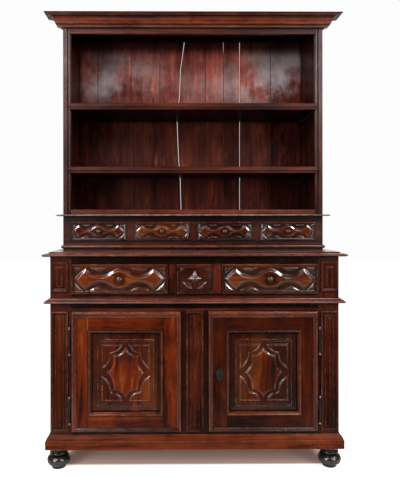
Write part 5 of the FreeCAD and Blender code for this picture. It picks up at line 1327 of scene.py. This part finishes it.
def make_round_mouldings():
    corner = (BASE_HALF, FRONT_FACE, BASE_BACK)
    plinth = rounded(PLINTH_PROFILE, MOULDING_CUT)
    lengths = wrapped_lengths(*corner, PLINTH_FOOT, plinth, PLINTH_SEED)
    make_piece("plinth_lengths", lengths, moulded_plinth, "root", "plinth_moulding")
    waist = rounded(np.array(WAIST_SHARES) * WAIST_SIZE, MOULDING_CUT)
    lengths = wrapped_lengths(*corner, WAIST_FOOT, waist, WAIST_SEED)
    make_piece("waist_lengths", lengths, moulded, "root", "waist_moulding")
    for name, node, shares, cut, rubbed, material, seed in (
            ("cornice_lengths", "cornice", CORNICE_SHARES, MOULDING_CUT, 0.0, moulded_top, 28.0),
            ("foot_bead_lengths", "rack_foot_bead", BEAD_SHARES, BEAD_CUT, BEAD_HIGHLIGHT, moulded, 32.0)):
        low, high = box_of(node)
        profile = rounded(np.array(shares) * (high[0] - RACK_HALF, high[2] - low[2]), cut)
        band = rubbed * bump_at(profile[:, 1] / (high[2] - low[2]), *BEAD_HIGHLIGHT_BAND)
        profile[:, 2] = np.maximum(profile[:, 2], band)
        lengths = wrapped_lengths(RACK_HALF, RACK_FACE, high[1], low[2], profile, seed)
        make_piece(name, lengths, material, "root", node)


def moulded_board(half_span, face, rear, bottom, side_out, front_out, profile, seed):
    """A board whose moulded edge runs round its front and ends. Its profile's first places are shares of
    side_out at the ends and of front_out in front."""
    out, up = profile[:, 0], profile[:, 1]
    left, right = placed_profile(half_span, face, bottom, side_out * out, front_out * out, up)
    corners = [at_depth(left, rear), left, right, at_depth(right, rear)]
    runs = [
        straight_rings(start, end, steps)[:-1]
        for start, end, steps in zip(corners, corners[1:], (END_STEPS + 1, FRONT_STEPS, END_STEPS + 1))
    ]
    rings = np.concatenate(runs + [corners[-1][None]])
    steps, count = rings.shape[:2]
    first = [index * count for index in range(steps)]
    last = [index + count - 1 for index in first]
    rear_cap = list(range(count - 1, -1, -1)) + [first[-1] + index for index in range(count)]
    quads = grid_quads(steps, count)[:, ::-1]
    shell = Shell(rings, quads, [first, last[::-1], rear_cap[::-1]], *profile[:, 2:].T)
    return shell.grain("x", seed)


WORKTOP_EDGE = [(0.45, 0.0), (0.78, 0.06), (0.95, 0.18), (1.0, 0.32), (0.96, 0.46), (0.80, 0.58),
                (0.48, 0.70), (0.26, 0.76), (0.16, 0.82), (0.12, 0.92), (0.08, 1.0)]
EDGE_FINENESS = 3
EDGE_OUTER, EDGE_INNER = (0.05, 0.5), (0.03, 0.25)


def eased_edge(shares, thickness):
    """An open edge outline with marks: its outer corners are rubbed and its inner ones hold wax."""
    line = flowing(np.array(shares) * (1.0, thickness), EDGE_FINENESS * len(shares))
    line[:, 0] = np.minimum(line[:, 0], 1.0)
    ahead = np.gradient(line, axis=0)
    turn = np.gradient(np.unwrap(np.arctan2(ahead[:, 1] / thickness, ahead[:, 0])))
    marks = np.stack([smooth_step(turn, *EDGE_OUTER), smooth_step(-turn, *EDGE_INNER)], axis=1)
    return np.concatenate([line, marks], axis=1)


def make_worktop():
    low, high = box_of("worktop")
    edge = eased_edge(WORKTOP_EDGE, high[2] - low[2])
    board = moulded_board(
        BASE_HALF, FRONT_FACE, high[1], low[2], high[0] - BASE_HALF, FRONT_FACE - low[1], edge, WORKTOP_SEED)
    make_piece("worktop_board", [board], moulded, "root", "worktop")


# Back boards of the rack. The wandering crack: shares of the half width, against shares of the height.
CRACK_LINE = [(-0.088, 0.0), (-0.084, 0.17), (-0.092, 0.34), (-0.104, 0.42), (-0.112, 0.52), (-0.118, 0.62),
              (-0.096, 0.74), (-0.088, 0.86), (-0.054, 1.0)]
CRACK_HALF = 0.0011
OPEN_SHARE, OPEN_HALF = 0.43, 0.0014
TIGHT_HALF = 0.0001
# The joint that opens near the top, by how much, and from what height.
PARTED_SHARE = 0.288
PARTED_HALF = 0.0009
PARTED_SPAN = (2.120, 2.140)
BOARD_STEPS = 61
# Places across a board: four at each side, eased and then inside the dirt by the joint, and some between.
BOARD_EASE, BOARD_GRIME = 0.0012, 0.004
BOARD_BETWEEN = np.linspace(0.06, 0.94, 9)
BOARD_WAVE = 0.05
SIDE_MARKS = {0: (0.0, 1.0), 1: (0.0, 1.0), 2: (0.35, 0.55)}


def board_shell(left, right, heights, front, back, seed):
    """An upright board between two side lines, planed a little uneven, with eased and dirty edges."""
    side = np.array((0.0, 0.0, BOARD_EASE, BOARD_GRIME))
    inset = np.concatenate([side, np.zeros(len(BOARD_BETWEEN)), -side[::-1]])
    share = np.concatenate([np.zeros(len(side)), BOARD_BETWEEN, np.ones(len(side))])
    x = left[:, None] + (right - left)[:, None] * share + inset
    z = np.broadcast_to(heights[:, None], x.shape)
    y = front + SKIM * (1.0 + unevenness(x, z, BOARD_WAVE, seed))
    y[:, [1, -2]] = front + BOARD_EASE
    y[:, [0, -1]] = back
    marks = np.zeros((2, len(share)))
    for number, mark in SIDE_MARKS.items():
        marks[:, number] = marks[:, -1 - number] = mark
    return tube_shell(np.stack([x, y, z], axis=2), *marks).grain("z", seed)


def make_back_boards():
    low, high = box_of("rack_back_boards")
    heights = np.linspace(low[2], high[2], BOARD_STEPS)
    crack_x, crack_up = np.array(CRACK_LINE).T
    crack = RACK_HALF * np.interp((heights - low[2]) / (high[2] - low[2]), crack_up, crack_x)
    level = np.ones(BOARD_STEPS)
    parted = TIGHT_HALF + PARTED_HALF * smooth_step(heights, *PARTED_SPAN)
    gaps = {OPEN_SHARE: OPEN_HALF, PARTED_SHARE: parted}
    lines = [(low[0] * level, 0.0), (crack, CRACK_HALF), (high[0] * level, 0.0)]
    lines += [(RACK_HALF * share * level, gaps.get(share, TIGHT_HALF)) for share in RACK_JOINTS]
    lines.sort(key=lambda line: line[0][0])
    shells = [
        board_shell(left + left_gap, right - right_gap, heights, low[1], high[1], BOARD_SEED + number)
        for number, ((left, left_gap), (right, right_gap)) in enumerate(zip(lines, lines[1:]))
    ]
    make_piece("back_boards", shells, back_wood, "root", "rack_back_boards")


# Feet

FOOT_ASIDE = 0.650
FOOT_PLACES = [(side * FOOT_ASIDE, depth) for side in (-1, 1) for depth in (-0.175, 0.211)]
BUN_STATIONS = [(0.52, 0.0), (0.62, 0.02), (0.63, 0.15), (0.69, 0.21), (0.92, 0.36), (1.0, 0.58),
                (0.96, 0.76), (0.83, 0.92), (0.66, 0.985), (0.54, 1.0)]
COLLAR_STATIONS = [(0.56, 0.0), (0.56, 0.05), (0.70, 0.09), (0.80, 0.17), (0.80, 0.27), (0.72, 0.34),
                   (0.72, 0.40), (0.80, 0.47), (0.93, 0.66), (0.985, 0.80), (1.0, 0.90), (1.0, 1.0)]
# The widest places are rubbed, and both ends hold dust.
WIDEST, UPPER_END, LOWER_END = (0.92, 1.0), (0.94, 1.0), (-0.06, 0.0)
FOOT_RUBBED, FOOT_DUST = 0.4, 0.6
# Name, node, stations, points along the line and seed of each turned part.
TURNED_FEET = [
    ("turned_buns", "bun_feet", BUN_STATIONS, 44, 50.0),
    ("turned_collars", "foot_collars", COLLAR_STATIONS, 52, 55.0),
]


def make_feet():
    for name, node, stations, count, seed in TURNED_FEET:
        low, high = box_of(node)
        radii, heights = flowing(stations, count).T
        heights = np.clip(heights, 0.0, 1.0)
        rim = smooth_step(radii, *WIDEST) * FOOT_RUBBED
        hollow = np.maximum(smooth_step(heights, *UPPER_END), smooth_step(-heights, *LOWER_END)) * FOOT_DUST
        radii = np.minimum(radii, 1.0) * (high[0] - FOOT_ASIDE)
        heights = heights * (high[2] - low[2])
        shells = [
            turned_shell(
                radii, heights, (x, y, low[2]), "up", FOOT_AROUND, rim[:, None], hollow[:, None]
            ).grain("z", seed + number)
            for number, (x, y) in enumerate(FOOT_PLACES)
        ]
        make_piece(name, shells, ebony, "root", node)


# Floor, world and the order of making

FLOOR_REACH = 12.0
FLOOR_ROUGH = 0.9
# The object's rectangle on the floor, where a painted shadow lies, and how the light of the paper rises
# outside it.
UNDER_SIDE, UNDER_FRONT, UNDER_BACK = 0.66, -0.16, 0.30
UNDER_EDGE = (-0.004, 0.014)
LIGHT_NEAR, LIGHT_FAR = (0.09, 0.75), (0.1, 1.2, 0.0, 0.25)
FRONT_FADE = (0.4, 1.0)
PAPER, FAR_PAPER, UNDER_PAPER = (0.62, 0.6, 0.59, 1), (0.10, 0.10, 0.10, 1), (0.62, 0.43, 0.37, 1)
WHITE, WARM_GLOW = (1.0, 1.0, 1.0, 1), (1.0, 0.60, 0.48, 1)
SEEN_WHITE = 0.98
MIRRORED_LEVELS = (0.55, 0.92)


def make_floor():
    """A wide pale floor: white paper to the camera, which keeps the object's shadow; in the object's
    rectangle a painted shadow, warm as painted bounce light, is laid as well.
    """
    mesh = bpy.data.meshes.new("floor")
    corners = [(FLOOR_REACH * x, FLOOR_REACH * y, 0) for x, y in ((-1, -1), (1, -1), (1, 1), (-1, 1))]
    mesh.from_pydata(corners, [], [(0, 1, 2, 3)])
    floor = bpy.data.objects.new("floor", mesh)
    bpy.context.scene.collection.objects.link(floor)
    material, tree, shader = new_material("floor_paper")
    parts = tree.parts(tree.place())
    ahead = tree.minus(UNDER_FRONT, parts["Y"])
    off = tree.most(
        tree.minus(tree.size(parts["X"]), UNDER_SIDE), ahead, tree.minus(parts["Y"], UNDER_BACK))
    # Painted shadow: in the object's rectangle the paper glows little and is tinted warm.
    light = tree.plus(tree.range(off, *UNDER_EDGE, *LIGHT_NEAR), tree.range(off, *LIGHT_FAR))
    under = tree.range(off, *UNDER_EDGE, 1.0, 0.0)
    paper = tree.mix(tree.range(ahead, *FRONT_FADE), PAPER, FAR_PAPER)
    seen = tree.add("ShaderNodeLightPath")["Is Camera Ray"]
    tree.put(shader["Roughness"], FLOOR_ROUGH)
    tree.put(shader["Specular IOR Level"], 0.0)
    tree.put(shader["Base Color"], tree.mix(under, paper, UNDER_PAPER))
    tree.put(shader["Emission Color"], tree.mix(under, WHITE, WARM_GLOW))
    tree.put(shader["Emission Strength"], tree.times(seen, light))
    mesh.materials.append(material)


def make_world():
    """White to the camera and to reflections that look behind the object, dim and soft from elsewhere."""
    world = bpy.data.worlds.new("studio")
    world.use_nodes = True
    bpy.context.scene.world = world
    tree = Tree(world.node_tree)
    background = world.node_tree.nodes["Background"].inputs
    path = tree.add("ShaderNodeLightPath")
    way = tree.parts(tree.add("ShaderNodeTexCoord")["Generated"])
    mirrored = tree.range(way["Y"], *MIRRORED_LEVELS, FRONT_WORLD, 1.0)
    strength = tree.plus(tree.times(path["Is Glossy Ray"], tree.minus(mirrored, DULL_WORLD)), DULL_WORLD)
    seen = tree.most(path["Is Camera Ray"], path["Is Transmission Ray"])
    tree.put(background["Color"], WHITE)
    tree.put(background["Strength"], tree.most(strength, tree.times(seen, SEEN_WHITE)))


dress_nodes()
make_door_panels()
make_door_mouldings()
make_drawer_fronts()
make_knobs()
make_pilasters()
make_round_mouldings()
make_worktop()
make_back_boards()
make_feet()
make_floor()
make_world()
for lamp in LAMPS:
    make_lamp(*lamp)
make_camera()
bpy.context.scene.view_settings.view_transform = "Standard"
